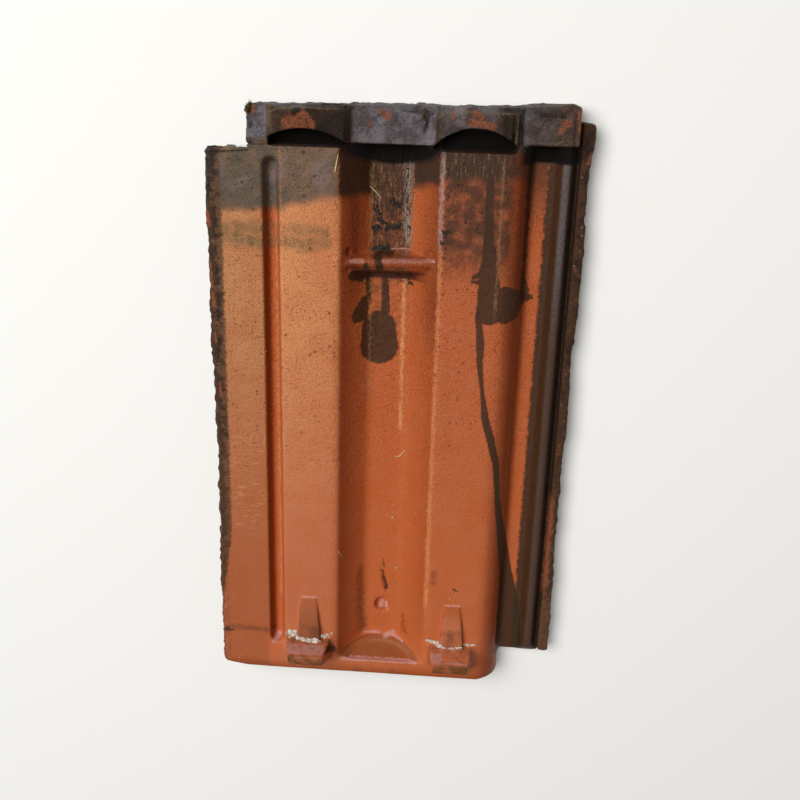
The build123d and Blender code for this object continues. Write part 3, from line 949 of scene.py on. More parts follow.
# %% The clay material, first part: where each thing is
def clay_places(w):
    """The values that every later step reads: stations, grain and ragged edges."""
    rest = w.node("ShaderNodeTexCoord").outputs
    shift = (TILE_WIDTH / 2, TILE_LENGTH / 2, -FACE_HEIGHT)
    spot = w.vector("MULTIPLY_ADD", rest["Object"], (1 / MM,) * 3, shift)
    facing_up = w.node("ShaderNodeSeparateXYZ", {0: rest["Normal"]}).outputs[2]
    known = {"spot": spot, "under": w.limits(facing_up, -0.3, 0.0)}
    c = Painter(w.tree, CLAY_DEEP, known)
    grain = c.placed(GRAIN_GROUP, {"Point": spot, "Coarse size": 22.0, "Fine size": 1.4})
    known["cloud"] = c.limits(grain["Cloud"], 0.3, 0.7)
    known["grain"] = grain["Grain"]
    known["grain height"] = grain["Height"]
    known["blotches"] = c.noise(spot, 9.0, detail=3.0, roughness=0.6)
    known["rag"] = c.math("SUBTRACT", c.noise(spot, 3.2, detail=3.0, roughness=0.65), 0.5)
    known["wide rag"] = c.math("SUBTRACT", c.noise(spot, 14.0), 0.5)
    # the stations tremble by a thousandth of a millimetre, so that the renderer works them out
    # after the noises and keeps fewer half-finished values waiting: its memory for them is small
    settled = c.vector("ADD", spot, c.stretched((0.001,) * 3, known["rag"]))
    parts = c.node("ShaderNodeSeparateXYZ", {0: settled}).outputs
    known["across"], known["along"], known["depth"] = parts[0], parts[1], parts[2]
    known["flat"] = c.vector("MULTIPLY", settled, (1, 1, 0))
    known["frayed along"] = c.scaled(known["rag"], 14.0, parts[1])
    known["frayed across"] = c.scaled(known["rag"], 5.0, parts[0])
    lengthwise = c.vector("MULTIPLY", spot, (1.0, 0.16, 1.0))
    known["streaks"] = c.noise(lengthwise, 1.3, detail=3.0, roughness=0.7)
    crosswise = c.vector("MULTIPLY", spot, (0.14, 1.0, 1.0))
    known["scrapes"] = c.noise(crosswise, 1.6, roughness=0.6)
    known["pits"] = c.specks(spot, 3.4, 0.34, 0.30)
    known["flecks"] = c.specks(spot, 1.9, 0.30, 0.36)
    known["grit"] = c.noise(spot, 0.9, roughness=0.75)
    return c


print("places ready")

# %% [markdown]
# ## Bare clay
# Under all dirt the clay is orange, pinker on the faces and bleached towards the foot at the left.
# Painted shade darkens the hollows' walls, the thumb recess's end wall and the head edge. A
# deepening tint keeps its grain, which paint would cover.

# %% The clay itself
# each wall darkened by painted shade: where across it is darkest and where it is plain,
# from and to along, softness, and how it deepens the clay
SHADED_WALLS = (
    (88.5, 106, 0, 430, 5, (0.54, 0.42, 0.28)),
    (94, 116, 300, 430, 18, (0.42, 0.32, 0.20)),
    (158, 136, 40, 300, 26, (0.76, 0.66, 0.48)),
    (158, 132, 268, 430, 30, (0.42, 0.38, 0.28)),
    (38.4, 43.5, 0, 430, 2, (0.56, 0.42, 0.20)),
    (50.5, 46.5, 0, 430, 2, (0.74, 0.62, 0.46)),
    (207, 193, 2, 430, 8, (0.52, 0.39, 0.25)),
    (212, 195, 298, 430, 14, (0.50, 0.42, 0.34)),
)
RIM_WIDTH = 3.0


def shaded_walls(c):
    for darkest, plain, start, end, soft, tone in SHADED_WALLS:
        reach = (plain - darkest) * 1.15
        outer = darkest - math.copysign(RIM_WIDTH, reach)
        inner_side = ("across", plain, plain - reach)
        outer_side = ("across", outer, outer + reach / 4)
        c.tint(tone, 1, inner_side, outer_side, ("along", start, end, soft), ("depth", -0.2, -2))
    # painted shade on the thumb recess's end wall, on the left part of its rim and along the head
    # edge
    off = c.off_oval(THUMB_MIDDLE, (30, 11.5))
    c.tint((0.62, 0.72, 0.72), 1, (off, 1.04, 0.94), ("along", 11, 12.6), ("depth", -0.6, -2.5))
    shaded_rim = c.mask((off, 0.90, 0.98), (off, 1.12, 1.0), ("along", 13, 15))
    c.tint((0.66, 0.6, 0.55), 1, shaded_rim, ("across", 128, 110))
    c.tint((0.66, 0.58, 0.46), 1, ("along", 9.0, 0.5))


def clean_clay(c):
    left_side = c.mask(("across", 150, 40))
    face = c.mask(("depth", -3.5, -0.6))
    bleached = c.mask(("along", 60, 330), left_side, face, c.scaled(c["cloud"], 0.4, 0.7))
    rosy = c.mask(face, c.scaled(left_side, 0.45, 0.12), ("across", 34, 52, 0.4, 1))
    c.coat(CLAY_PINK, 1, c.scaled(c["cloud"], 0.25, rosy))
    c.coat(CLAY_LIGHT, 1, bleached)
    c.tint((0.80, 0.84, 0.88), 1, ("across", 38, 34), ("along", 395, 380))
    dulled = c.mask(("across", 155, 200, 3), ("frayed along", 302, 338))
    c.coat(WEATHER_BROWN, 0.9, dulled, ("blotches", 0.25, 0.58, 0.4, 1))
    stretch = c.mask(("frayed across", 6, 36, 2), ("along", 120, 205, 14))
    c.coat(CLAY_LIGHT, 0.6, stretch, ("scrapes", 0.57, 0.68))
    pads = c.either(("across", 60, 74.5, 0.6), ("across", 168, 182, 0.6))
    c.tint((0.80, 0.76, 0.64), 1, pads, ("along", 33, 64.5, 1), ("depth", 0.15, 0.6))


print("damp walls:", len(SHADED_WALLS))

# %% [markdown]
# ## Weathered zone and crust
# Where wind drove rain in under the next tile, grey and brown growth ends in a ragged line, a
# little different in each channel, and a crust streaks the trough.

# %% The weathered zone at the foot
# each strip: from and to across, where it ends along at either side, its tone and thickness
WEATHERED = (
    (-5, 49, 352, 353, WEATHER_GREY, 0.98),
    (49, 87, 354, 363, WEATHER_GREY, 0.90),
    # the trough's left wall at the foot: weathered, and darkened by painted shade
    (87, 108, 364, 362, SHADED_FOOT_WALL, 1.1),
    (108, 134, 352, 352, WEATHER_BROWN, 0.75),
    (134, 152, 369, 372, WEATHER_BROWN, 1.15),
    (152, 196, 377, 377, WEATHER_BROWN, 1.05),
    (196, 213, 377, 377, WEATHER_BROWN, 0.7),
)


def weathered_zone(c):
    for low, high, start, end, tone, amount in WEATHERED:
        slope = (end - start) / (high - low)
        strip = c.mask(("frayed across", low, high, 1.6))
        edge = c.scaled(c["wide rag"], 7.0, c.scaled(c["across"], -slope, c["along"]))
        edge = c.scaled(c["grit"], 3.0, edge)
        ends = start - low * slope
        zone = (edge, ends - 2, ends + 6)
        c.coat(tone, 1, strip, zone, c.scaled(c["blotches"], 0.6, amount - 0.3))
    wavy = c.scaled(c["wide rag"], 14.0, c["along"])
    tide = c.mask((wavy, 329, 343, 5), ("across", 9, 82, 3))
    c.coat(TIDE_OLIVE, 0.8, tide, ("blotches", 0.30, 0.62, 0.25, 1))
    # a faint painted lilac reflection at the foot end of the left side
    c.coat(LILAC_REFLECTION, 0.30, ("along", 362, 374), ("across", 86, 78), ("cloud", 0.45, 0.8))
    c.coat(STRAW_PALE, 0.45, ("across", 157, 191, 2), ("along", 374, 382), ("streaks", 0.52, 0.66))
    c.coat(CHIP_ORANGE, 0.5, ("along", 352, 366), ("across", 86, 78), ("rag", 0.12, 0.2))


def trough_crust(c):
    """Mottled brown crust in the trough floor, with pale streaks along it."""
    zone = c.mask(("frayed across", 107, 134, 2), ("along", 245, 330))
    c.coat(CRUST_BROWN, 0.8, zone, ("blotches", 0.38, 0.62))
    upper = c.mask(zone, ("along", 318, 332))
    c.coat(WEATHER_BROWN, 0.72, upper)
    c.coat(RUN_BLACK, 0.8, upper, ("streaks", 0.46, 0.36))
    c.coat(CRUST_PALE, 0.8, upper, ("across", 126, 132), ("streaks", 0.42, 0.6))
    c.coat(STRAW_PALE, 0.7, zone, ("streaks", 0.54, 0.66))
    return zone


print("weathered strips:", len(WEATHERED))

# %% [markdown]
# ## Stains and painted edge highlights
# Soot water left blots and one long run, and thin lighter lines along edges are painted
# highlights.

# %% Stains and painted edge highlights
# each painted edge highlight: from and to across, from and to along, its tone and how strong it is
EDGE_HIGHLIGHTS = (
    (153.4, 156.2, 60, 330, CLAY_LIGHT, 0.55),
    (152.4, 155.4, 332, 394, LILAC_EDGE_HIGHLIGHT, 0.62),
    (191.8, 193.4, 290, 392, STRAW_PALE, 0.5),
    (129.2, 131.8, 196, 315, CLAY_LIGHT, 0.85),
    (132.2, 134.8, 330, 385, STRAW_PALE, 0.5),
    (106.6, 108.2, 215, 385, STRAW_PALE, 0.45),
    (44.6, 46.2, 60, 352, CLAY_LIGHT, 0.6),
    (84.2, 86.2, 372, 394, STRAW_PALE, 0.4),
    (212.2, 213.4, 250, 388, STRAW_PALE, 0.22),
)


def stained(c):
    blots = c.marks(BLOT_RIGHT + STRIPE_RIGHT + BLOTS_TROUGH, 0.7, 3.0)
    c.coat(STAIN, 1, blots, c.scaled(c["grain"], 0.4, 0.74))
    run = c.marks(RUN_RIGHT, 0.6, 2.0)
    c.coat(c.paint(STAIN, RUN_BLACK, c.mask(("along", 260, 200))), 0.92, run)
    c.coat(RUN_BLACK, 0.85, c.marks(CRUST_SPOTS, 0.5, 3.5))
    # thin lines of painted highlight along edges that catch the light
    for low, high, start, end, tone, amount in EDGE_HIGHLIGHTS:
        line = c.mask(("frayed across", low, high, 0.8), ("along", start, end, 6))
        c.coat(tone, amount, line, ("streaks", 0.35, 0.6, 0.3, 1))


print("worn edges:", len(EDGE_HIGHLIGHTS))

# %% [markdown]
# ## Cover roll
# The roll at the right lay over the neighbour, so it is nearly black, with a painted grey
# reflection on its crest and painted black shade in two deep corners.

# %% Cover roll
def cover_roll(c):
    """Dark from years under the neighbour's edge, with a painted grey reflection on the rib's
    crest.
    """
    # painted black shade in the corner where the slope meets the cover's floor
    c.coat(EDGE_DIRT_AND_SHADE, 0.85, ("frayed across", 208.6, 211.8, 0.6), ("along", 285, 330))
    c.coat(WEATHER_BROWN, 0.85, ("across", 211, 222, 1), ("frayed along", 330, 392))
    c.coat(COVER_DARK, 0.93, ("frayed across", 220.6, 223.2))
    # a painted grey reflection on the rib's crest
    crest = c.mask(("across", 231.2, 235.8, 1.3), ("along", 15, 40))
    c.coat(RIB_REFLECTION_GREY, 0.72, crest, ("along", 250, 345, 0.22, 1))
    # painted black shade in the slit between the rib and the strip
    c.coat(EDGE_DIRT_AND_SHADE, 0.8, ("across", 236.8, 242.2, 0.7))
    c.coat(CHIP_ORANGE, 0.8, ("frayed across", 241.5, 245.5, 1), ("along", 72, 150, 8))
    c.coat(EDGE_BROWN, 0.85, ("across", 241.5, 242.5), ("frayed along", 72, 60))
    strip = c.mask(("across", 242, 244))
    c.tint((0.42, 0.36, 0.32), 1, strip, ("blotches", 0.58, 0.40), ("along", 150, 260, 0.3, 1))
    reddish = c.specks(c["spot"], 4.2, 0.30, 0.45)
    c.coat(CHIP_ORANGE, 0.5, reddish, strip, ("rag", -0.1, 0.1))
    c.coat(LICHEN, 0.35, c.specks(c["spot"], 2.9, 0.12, 0.3), strip)


print("cover roll ready")

# %% [markdown]
# ## Foot lip, recesses, nibs and small marks
# The lip stood in the weather: purple-grey stone colours on its blocks, brown in the arches.
# Corners that face the head get painted black shade, and the nibs' faces painted shade and
# reflections.

# %% Foot lip
# the middle and half width of each arch's rim, where painted shade darkens the arch's front
# towards its opening
ARCH_RIMS = ((68.0, 25.6), (174.3, 27.0))


def foot_lip(c):
    """Brown arches between purple-grey blocks, with chips and dark lines, painted shade and
    painted highlights.
    """
    on_lip = c.mask(("along", 393.8, 395.6), ("across", 24, 26), ("across", 243, 241))
    arch = c.either(("across", 40.5, 94.0, 1.2), ("across", 148.5, 202, 1.2))
    end_strip = c.limits(c.scaled(c["rag"], 1.5, c["along"]), 416.8, 419.4)
    stone = c.other(LIP_PURPLE)
    stone.coat(LIP_BROWN, 1, arch, c.math("SUBTRACT", 1.0, end_strip))
    stone.coat(LIP_BROWN, 0.65, ("across", 203, 212))
    stone.coat(EDGE_BROWN, 0.5, ("frayed across", 218, 230))
    stone.coat(LIP_PURPLE, 0.45, ("across", 152, 186, 4))
    stone.tint((0.78, 0.76, 0.74), 1, end_strip)
    stone.tint((0.5, 0.45, 0.42), 1, ("blotches", 0.62, 0.38))
    shadowed = c.either(("across", 67, 96, 8), ("across", 190, 203, 4))
    stone.tint((0.26, 0.17, 0.11), 0.85, shadowed)
    # painted shade: each arch's front darker towards its opening
    for middle, half in ARCH_RIMS:
        off_middle = c.math("ABSOLUTE", c.scaled(c["across"], 1 / half, -middle / half))
        opening = c.scaled(c.math("POWER", off_middle, 2.0), 12.0, c["along"])
        shaded_rim = c.mask(("across", middle - half, middle + half, 0.8), (opening, 411.5, 406.5))
        stone.tint((0.38, 0.28, 0.20), 0.8, shaded_rim)
    # painted lilac reflection on the second arch
    stone.coat(LILAC_REFLECTION, 0.5, ("frayed across", 160, 168, 2), ("blotches", 0.35, 0.6))
    ragged = c.scaled(c["rag"], 2.0, c["along"])
    # painted highlight: a brown rim along the sunk blocks' lit lower edges
    stone.coat(EDGE_BROWN, 0.7, (ragged, 399.5, 396.5), ("depth", -9, -6))
    # painted highlight on the first arch's lit left flank
    stone.coat(LIP_GOLD_HIGHLIGHT, 0.55, ("across", 40, 44, 1.5), ("along", 402, 406))
    # painted lilac reflection on the middle block's right flank
    stone.coat(LILAC_REFLECTION, 0.6, ("across", 142.5, 146, 1), ("along", 414, 408))
    c.coat(stone.colour, 1, on_lip)


def recess_shade(c):
    """Painted black shade in the corners that face the head: arches, trough end and below the bar.
    """
    arch = c.either(("across", 40.8, 90.6, 0.7), ("across", 151.8, 198.4, 0.7))
    groove = c.mask(arch, ("along", 394.4, 407.2, 0.5), ("depth", -0.4, -1.2))
    off_bowl = c.scaled(c["rag"], 0.10, c.off_oval((121, 401), (37, 19.5)))
    bowl = c.mask((off_bowl, 1.04, 0.84), ("depth", -1, -3), ("along", 397.6, 396.6))
    right = c.mask(("across", 200, 242, 2), ("along", 387, 399.2, 1.5), ("depth", -4, -8))
    right = c.mask(right, ("along", 384, 389, 0.25, 1))
    painted_shade = c.most(groove, bowl, right)
    # painted shadow on the trough floor on the head side of the bar
    below_bar = c.mask(("along", 306.6, 315.5, 0.9), ("across", 92, 98), ("across", 150, 134))
    c.coat(BAR_SHADE, 0.9, below_bar, ("depth", -5, -8))
    # the tie bar a little darker
    bar = c.mask(("along", 314, 329, 1), ("across", 91, 148, 2))
    c.tint((0.76, 0.66, 0.58), 1, bar, ("depth", -12, -9))
    # painted black shade in the arches' grooves, the trough's foot end and under the right block
    c.coat(PAINTED_SHADE_BLACK, 0.97, painted_shade)
    return painted_shade


def nib_tones(c):
    """Nibs: olive tips, painted shade and a painted lilac reflection on the face that bore on the
    batten.
    """
    # olive tips: dirt with a dull painted reflection
    c.coat(NIB_OLIVE, 1, ("depth", 20.0, 21.6), ("blotches", 0.3, 0.6, 0.5, 1))
    face = c.mask(("depth", 2, 21, 1.5), ("along", 25.0, 26.5))
    # painted shade on the left nib's face
    c.tint((0.80, 0.86, 0.90), 1, face, ("across", 110, 90))
    c.coat(CLAY_PINK, 1, face, ("across", 110, 130, 0, 0.6))
    left_sheen = c.mask(("frayed across", 53, 80, 1.5), ("depth", 9.5, 19.5, 1))
    left_sheen = c.mask(left_sheen, ("blotches", 0.36, 0.46, 0.25, 1))
    right_sheen = c.mask(("frayed across", 158.5, 169, 1.5), ("depth", 10, 19.5, 1))
    crest = c.mask(("frayed across", 169, 189, 1.5), ("depth", 18.3, 20.2, 0.5))
    # painted reflections on the nibs' faces and on the right nib's crest
    c.coat(PINK_HIGHLIGHT, 0.68, c.most(left_sheen, right_sheen, crest), face)
    roots = c.mask(("frayed along", 29, 44, 3), ("depth", 1.5, 3))
    c.coat(WEATHER_BROWN, 1, roots, ("blotches", 0.40, 0.66, 0.1, 0.6))


# each kind of small mark: its lines, tone, softness, how ragged it is and how strong
SMALL_MARKS = (
    (CHIPS, CHIP_ORANGE, 0.9, 3.5, 0.85),
    # painted highlights on the lip's lit edges
    (GOLD_HIGHLIGHTS, OLIVE_HIGHLIGHT, 0.6, 3.0, 0.52),
    # some of the lip's dark lines are painted shade on the arches' right flanks
    (LIP_DARKS, EDGE_DIRT_AND_SHADE, 0.9, 3.5, 0.75),
    (THIN_DARKS, EDGE_DIRT_AND_SHADE, 0.6, 3.0, 0.8),
    (SMUDGES, STAIN, 2.2, 9.0, 0.46),
    # painted highlights on wet crests, beads and rims
    (PAINTED_HIGHLIGHTS, PINK_HIGHLIGHT, 0.5, 2.6, 0.75),
)


def small_marks(c):
    for lines, tone, soft, fray, amount in SMALL_MARKS:
        mask = c.marks(lines, soft, fray)
        if lines is CHIPS:
            mask = c.mask(mask, ("grit", 0.34, 0.5, 0.3, 1))
        c.coat(tone, 1, mask, c.scaled(c["grain"], 0.6, amount - 0.3))


print("lip and marks ready")

# %% [markdown]
# ## Broken edges and grit
# Broken clay is rough and holds dirt, and pits, flecks and sand break up every flat colour.

# %% Broken edges, pits and the weather side
def broken_left_edge(c):
    reach = c.mask(("along", 50, 125, 2.5, 10.5))
    off_edge = c.math("SUBTRACT", c["frayed across"], reach)
    edge = c.mask((off_edge, 0.8, -1.5), ("along", 20, 80, 0.55, 1))
    dirty = c.mask((c.scaled(c["across"], -0.03, c["blotches"]), 0.22, 0.38))
    broken = c.other(EDGE_BROWN)
    broken.coat(EDGE_DIRT_AND_SHADE, 1, dirty, ("along", 120, 220, 0.55, 0.95))
    broken.coat(CHIP_ORANGE, 0.5, ("rag", 0.10, 0.18), ("along", 300, 260))
    c.coat(broken.colour, 0.92, edge)
    c.coat(CHIP_ORANGE, 0.85, c.marks(EDGE_CHIPS, 0.8, 3.0))


def pitted_face(c):
    face = c.mask(("depth", -5.0, -1.5))
    open_face = c.mask(("along", 120, 230), face)
    c.tint((0.3, 0.22, 0.18), 1, "pits", open_face, ("wide rag", -0.1, 0.15, 0.2, 0.8))
    few = c.mask("flecks", ("along", 90, 300, 0.08, 0.8), face)
    c.tint((0.42, 0.28, 0.24), 1, few, ("wide rag", -0.12, 0.12, 0.25, 1))
    c.tint((0.6, 0.5, 0.44), 1, ("grain", 0.52, 0.34), ("along", 40, 330, 0.2, 0.6))


def gritty(c, crust_zone):
    """How sandy the surface is, from 0 on the sheltered head to 1 on lip, crust and cover."""
    open_clay = c.mask(("along", 60, 300, 0.30, 0.84))
    lip = c.mask(("along", 392, 396))
    rib = c.mask(("across", 228, 237, 1))
    cover = c.mask(("across", 219, 226), ("along", 20, 120, 0.4, 0.8), c.scaled(rib, -0.6, 1.0))
    edge = c.mask(("across", 9, 4))
    return c.most(c.most(lip, crust_zone), c.most(cover, edge), open_clay)


def speckled(c, sandy):
    patchy = c.mask(sandy, ("wide rag", -0.14, 0.10, 0.45, 1))
    c.tint((0.36, 0.29, 0.25), 1, ("grit", 0.48, 0.34), patchy)
    c.tint((1.6, 1.6, 1.6), 0.8, ("grit", 0.55, 0.72), patchy)
    # pale painted glints on the sandiest clay
    c.coat(GLINT_PALE, 0.35, ("grit", 0.62, 0.70), (sandy, 0.86, 1), ("along", 396, 390, 0.5, 1))


def weather_side(c):
    """Brown skin with lichen; it is hidden in the photograph and guessed from such roofs."""
    back = c.other(BACK_BROWN)
    back.coat(WEATHER_GREY, 1, (c.scaled(c["wide rag"], 60.0, c["along"]), 60, 240))
    back.coat(LICHEN, 1, c.specks(c["spot"], 17.0, 0.4, 0.42), ("rag", -0.1, 0.15))
    back.tint((0.5, 0.45, 0.42), 1, ("blotches", 0.6, 0.4))
    return back.colour


print("edges, pits and weather side ready")

# %% [markdown]
# ## The whole clay
# The layers go on from the oldest to the newest, and one bump carries the finest relief.

# %% The whole clay
CLAY_RELIEF = 0.001
CLAY_SHINE = 0.16


def fine_relief(c, crust_zone, sandy, unshaded):
    """Relief too fine for the skin: grain, pits and the crust's streaks."""
    coarse = c.noise(c["spot"], 3.0, detail=3.0, roughness=0.6)
    height = c.scaled(c["grain height"], 0.25, c.math("MULTIPLY", c["pits"], -0.6))
    height = c.mask(c.scaled(coarse, 0.85, height), ("along", 60, 260, 0.3, 1))
    height = c.scaled(c.mask("streaks", crust_zone), 0.8, height)
    height = c.scaled(c.mask("grit", sandy), c.mask(("along", 390, 396, 1.6, 2.6)), height)
    return c.math("MULTIPLY", height, unshaded)


def weathered_clay():
    material, w = start_material("weathered fired clay")
    c = clay_places(w)
    clean_clay(c)
    shaded_walls(c)
    weathered_zone(c)
    crust_zone = trough_crust(c)
    for step in (stained, cover_roll, nib_tones, foot_lip, small_marks, broken_left_edge):
        step(c)
    back = weather_side(c)
    pitted_face(c)
    c.colour = c.paint(back, c.colour, c["under"])
    # painted black shade in the corners that face the head; there the clay is rough, without sand
    # or fine relief
    painted_shade = recess_shade(c)
    unshaded = c.math("SUBTRACT", 1.0, painted_shade)
    sandy = c.mask(gritty(c, crust_zone), unshaded)
    speckled(c, sandy)
    height = fine_relief(c, crust_zone, sandy, unshaded)
    rough = c.most(c.mask(("blotches", 0.3, 0.7, 0.34, 0.58)), painted_shade)
    c.surface(rough, height, 0.6, CLAY_RELIEF, CLAY_SHINE)
    return material


skin.data.materials.append(weathered_clay())
print("clay nodes:", len(skin.data.materials[0].node_tree.nodes))

# %% [markdown]
# ## Lime crumbs, moss and straw
# Bits of the roof stayed on the tile: crumbs of lime mortar where the nibs met the batten, loose
# grit, black lichen, moss in two corners of the lip, and a few dry stalks. They are real lumps
# with their own shadows, so they are small meshes. A probe dropped on the skin finds the height
# under each, so that every crumb touches the clay instead of floating over it.

# %% A probe for the skin's height
from mathutils.bvhtree import BVHTree

skin_tree = BVHTree.FromObject(skin, bpy.context.evaluated_depsgraph_get())
PROBE_HEIGHT = 0.2


def on_skin(across, along):
    start = at(across, along)
    start.z = PROBE_HEIGHT
    return skin_tree.ray_cast(start, Vector((0, 0, -1)))[0]


def finish_piece(piece, material):
    piece.data.materials.append(material)
    smooth(piece)
    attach(piece, "root")
    print(piece.name, "triangles:", triangles_of(piece))


print("height at the tile's middle, metres:", on_skin(TILE_WIDTH / 2, TILE_LENGTH / 2).z)

# %% Crumbs
import bmesh

BALL_ROUNDS = 3
SUNK_SHARE = 0.25


def lump_cluster(name, spots, squash, seed):
    """One mesh of rough lumps. Each spot: across, along, radius in mm."""
    cluster = bmesh.new()
    for number, (across, along, radius) in enumerate(spots):
        base = on_skin(across, along)
        if base is None:
            continue
        ball = bmesh.ops.create_icosphere(cluster, subdivisions=BALL_ROUNDS, radius=1.0)["verts"]
        shape = np.array([tuple(v.co) for v in ball])
        rough = 1 + 0.32 * lumps(shape + number * 7.3, 0.8, seed)
        rough = rough + 0.14 * lumps(shape + number, 0.3, seed + 1)
        for vertex, point, swell in zip(ball, shape, rough):
            grown = Vector(point) * float(swell) * radius * MM
            grown.z = grown.z * squash + radius * MM * squash * (1 - 2 * SUNK_SHARE)
            vertex.co = base + grown
    mesh = bpy.data.meshes.new(name)
    cluster.to_mesh(mesh)
    cluster.free()
    return put_in_scene(name, mesh)


# A smear of mortar is many lumps close together. Each smear: start and end (across, along), how
# many lumps, how far they stray, and the smallest and largest radius, all in mm.
def scattered(smears, seed):
    chooser = np.random.default_rng(seed)
    spots = []
    for start, end, count, stray, small, large in smears:
        for share in np.linspace(0, 1, count):
            place = np.array(start) + share * np.subtract(end, start) + chooser.normal(0, stray, 2)
            spots.append((*place, chooser.uniform(small, large)))
    return spots


LEFT_NIB_LIME = (
    ((52.8, 31.8), (57.6, 31.4), 12, 0.9, 1.2, 2.0),
    ((51.0, 31.4), (53.5, 30.2), 5, 0.5, 0.7, 1.2),
    ((58.0, 31.6), (63.8, 30.4), 11, 0.55, 1.0, 1.5),
    ((63.8, 30.4), (71.6, 29.8), 14, 0.5, 1.0, 1.5),
    ((71.6, 29.8), (77.4, 31.0), 11, 0.5, 0.9, 1.4),
    ((77.2, 30.8), (84.0, 32.6), 10, 0.6, 0.6, 1.1),
)
RIGHT_NIB_LIME = (
    ((157.8, 32.8), (163.0, 31.6), 9, 0.6, 0.8, 1.3),
    ((163.0, 31.6), (168.0, 32.0), 10, 0.6, 0.9, 1.6),
    ((168.0, 31.2), (177.0, 30.6), 9, 0.4, 0.5, 0.8),
    ((177.0, 30.8), (183.5, 31.6), 8, 0.3, 0.5, 0.9),
    ((183.5, 31.6), (192.5, 31.6), 9, 0.4, 0.5, 0.9),
)
LOOSE_GRIT = (
    ((127.0, 124.5), (127.4, 124.3), 2, 0.2, 0.8, 1.0),
    ((173.0, 70.0), (173.2, 70.0), 1, 0.1, 0.8, 0.9),
    ((130.3, 82.0), (132.8, 82.4), 3, 0.2, 0.5, 0.9),
    ((129.5, 69.5), (129.7, 69.5), 1, 0.1, 0.9, 1.0),
    ((96.5, 7.8), (96.7, 7.8), 1, 0.1, 0.6, 0.8),
    ((37.5, 256.0), (37.5, 256.2), 1, 0.1, 0.4, 0.6),
    ((126.5, 135.0), (126.6, 135.0), 1, 0.1, 0.4, 0.5),
    ((3.0, 22.0), (18.0, 5.0), 4, 2.0, 0.3, 0.5),
)
BLACK_LICHEN = (
    ((120.5, 359.5), (126.0, 356.5), 12, 0.8, 0.6, 1.3),
    ((110.5, 354.0), (112.5, 350.0), 9, 0.8, 0.6, 1.2),
    ((112.5, 347.5), (116.5, 343.5), 12, 0.9, 0.6, 1.3),
    ((108.5, 341.0), (113.0, 341.0), 10, 0.7, 0.6, 1.3),
    ((117.0, 340.6), (126.0, 343.2), 14, 0.6, 0.6, 1.2),
    ((108.5, 326.0), (119.5, 328.0), 22, 1.1, 0.6, 1.4),
    ((128.5, 353.0), (131.0, 351.5), 4, 0.4, 0.4, 0.7),
    ((132.6, 342.8), (133.6, 341.8), 3, 0.4, 0.4, 0.7),
    ((129.8, 380.4), (131.2, 380.0), 3, 0.3, 0.3, 0.6),
    ((155.4, 344.0), (157.0, 342.6), 5, 0.4, 0.4, 0.8),
    ((154.4, 337.4), (156.0, 334.6), 5, 0.3, 0.3, 0.7),
    ((134.0, 305.4), (136.6, 303.8), 6, 0.4, 0.4, 0.7),
    ((57.6, 414.8), (61.6, 416.8), 7, 0.6, 0.5, 0.9),
)


CRUMB_RELIEF = 0.0004
CRUMB_SHINE = 0.2


def crumb_material(name, pale, dark, size):
    material, w = start_material(name)
    c = Painter(w.tree, from_picture(*dark), {})
    spot = c.stretched(c.node("ShaderNodeTexCoord").outputs["Object"], 1 / MM)
    grain = c.placed(GRAIN_GROUP, {"Point": spot, "Coarse size": size, "Fine size": size / 5})
    c.coat(from_picture(*pale), 1, (grain["Cloud"], 0.35, 0.6))
    c.coat(from_picture(*dark), 0.6, c.specks(spot, size * 0.6, 0.35, 0.4))
    rough = c.limits(grain["Grain"], 0.3, 0.7, 0.7, 0.95)
    c.surface(rough, grain["Height"], 0.7, CRUMB_RELIEF, CRUMB_SHINE)
    return material


LIME = crumb_material("old lime mortar", (214, 208, 198), (168, 146, 128), 2.4)
GRIT = crumb_material("loose grit", (206, 160, 118), (150, 100, 66), 1.6)
BLACK = crumb_material("black lichen", (60, 52, 47), (12, 9, 7), 1.2)
for cluster_name, smears, squash, seed, material in (
    ("lime_on_left_nib", LEFT_NIB_LIME, 0.5, 201, LIME),
    ("lime_on_right_nib", RIGHT_NIB_LIME, 0.45, 211, LIME),
    ("loose_grit", LOOSE_GRIT, 0.7, 221, GRIT),
    ("black_lichen", BLACK_LICHEN, 0.7, 225, BLACK),
):
    cluster = lump_cluster(cluster_name, scattered(smears, seed), squash, seed + 1)
    finish_piece(cluster, material)

# %% [markdown]
# ## Moss
# A moss cushion is a low lump with short pointed leaves all over it. The leaves are thin
# three-sided spikes, because at this size a flat card would vanish from the side.

# %% Moss
def moss_tuft(name, spots, leaves, length, seed):
    tuft = lump_cluster(name, spots, 0.8, seed)
    chooser = np.random.default_rng(seed)
    grown = bmesh.new()
    grown.from_mesh(tuft.data)
    centres = [on_skin(across, along) for across, along, _ in spots]
    for _ in range(leaves):
        pick = chooser.integers(len(spots))
        radius = spots[pick][2] * MM
        direction = Vector(chooser.normal(size=3))
        direction.z = abs(direction.z)
        direction.normalize()
        foot = centres[pick] + direction * radius * 0.7
        lean = direction + Vector(chooser.normal(0, 0.35, 3))
        tip = foot + lean * length * MM * chooser.uniform(0.5, 1)
        side = direction.orthogonal().normalized() * length * MM * 0.14
        ring = [foot + Matrix.Rotation(turn, 3, direction) @ side for turn in (0.0, 2.09, 4.19)]
        corners = [grown.verts.new(point) for point in (*ring, tip)]
        for face in ((0, 1, 3), (1, 2, 3), (2, 0, 3), (2, 1, 0)):
            grown.faces.new([corners[i] for i in face])
    grown.to_mesh(tuft.data)
    grown.free()
    return tuft


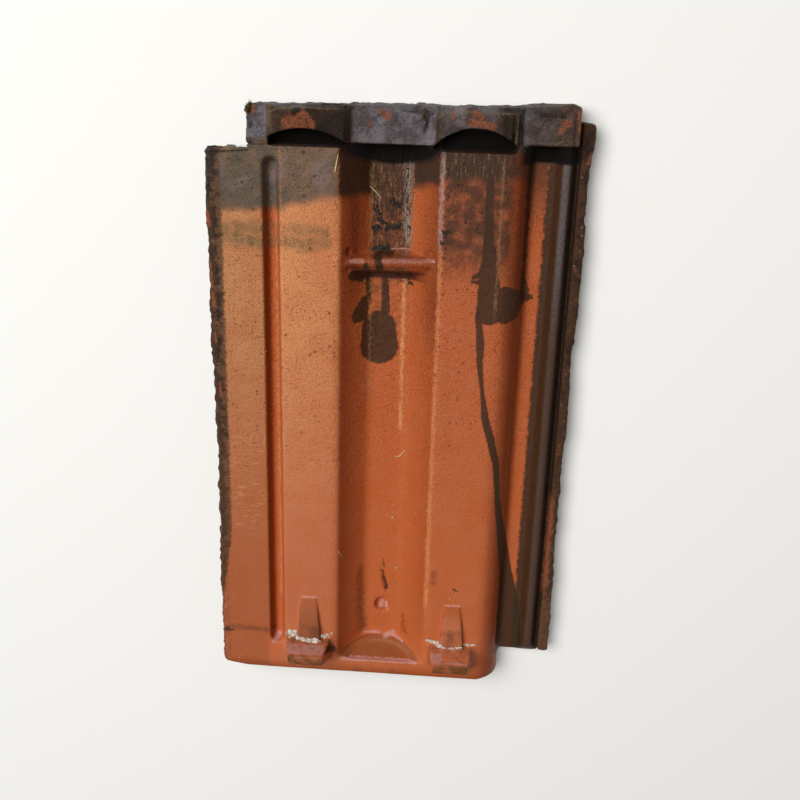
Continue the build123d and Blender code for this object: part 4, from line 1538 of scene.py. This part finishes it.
MOSS = crumb_material("dry moss", (92, 76, 42), (30, 24, 14), 1.8)
CORNER_MOSS = ((27.8, 417.4, 1.6), (27.0, 415.4, 1.5), (29.0, 418.8, 1.2), (27.6, 413.6, 1.1))
BLOCK_MOSS = ((141.5, 417.4, 1.0), (143.0, 415.6, 0.9), (140.2, 415.0, 0.7))
finish_piece(moss_tuft("moss_at_lip_corner", CORNER_MOSS, 200, 1.8, 231), MOSS)
finish_piece(moss_tuft("moss_on_middle_block", BLOCK_MOSS, 90, 1.6, 241), MOSS)

# %% [markdown]
# ## Straw
# Dry stalks lie loose. Each is a smooth spline through a few resting points with a thin round
# section that narrows to its tip.

# %% Straw
STALK_LIFT = 0.8
STALKS = {
    "stalk_on_panel_edge": (((85.0, 379.5), (85.6, 384.0), (87.0, 390.5)), 0.55),
    "stalk_in_trough": (((106.4, 368.4), (110.0, 364.6), (113.4, 360.8)), 0.45),
    "root_in_trough": (((128.0, 174.6), (130.6, 174.2), (132.0, 176.4), (135.2, 180.6)), 0.55),
    "hair_stalk": (((88.6, 104.0), (90.0, 101.0), (91.8, 97.0)), 0.3),
}


def stalk(name, route, thickness):
    curve = bpy.data.curves.new(name, "CURVE")
    curve.dimensions = "3D"
    curve.bevel_depth = thickness * MM
    curve.bevel_resolution = 2
    curve.use_fill_caps = True
    spline = curve.splines.new("NURBS")
    spline.points.add(len(route) - 1)
    for number, (point, (across, along)) in enumerate(zip(spline.points, route)):
        place = on_skin(across, along)
        point.co = (place.x, place.y, place.z + STALK_LIFT * thickness * MM, 1)
        point.radius = 1.0 - 0.6 * number / (len(route) - 1)
    spline.order_u = 3
    spline.use_endpoint_u = True
    made = put_in_scene(name, curve)
    graph = bpy.context.evaluated_depsgraph_get()
    mesh = bpy.data.meshes.new_from_object(made.evaluated_get(graph))
    bpy.data.objects.remove(made)
    bpy.data.curves.remove(curve)
    return put_in_scene(name, mesh)


STRAW = crumb_material("dry straw", (220, 194, 148), (172, 136, 88), 3.0)
for stalk_name, (route, thickness) in STALKS.items():
    finish_piece(stalk(stalk_name, route, thickness), STRAW)

# %% [markdown]
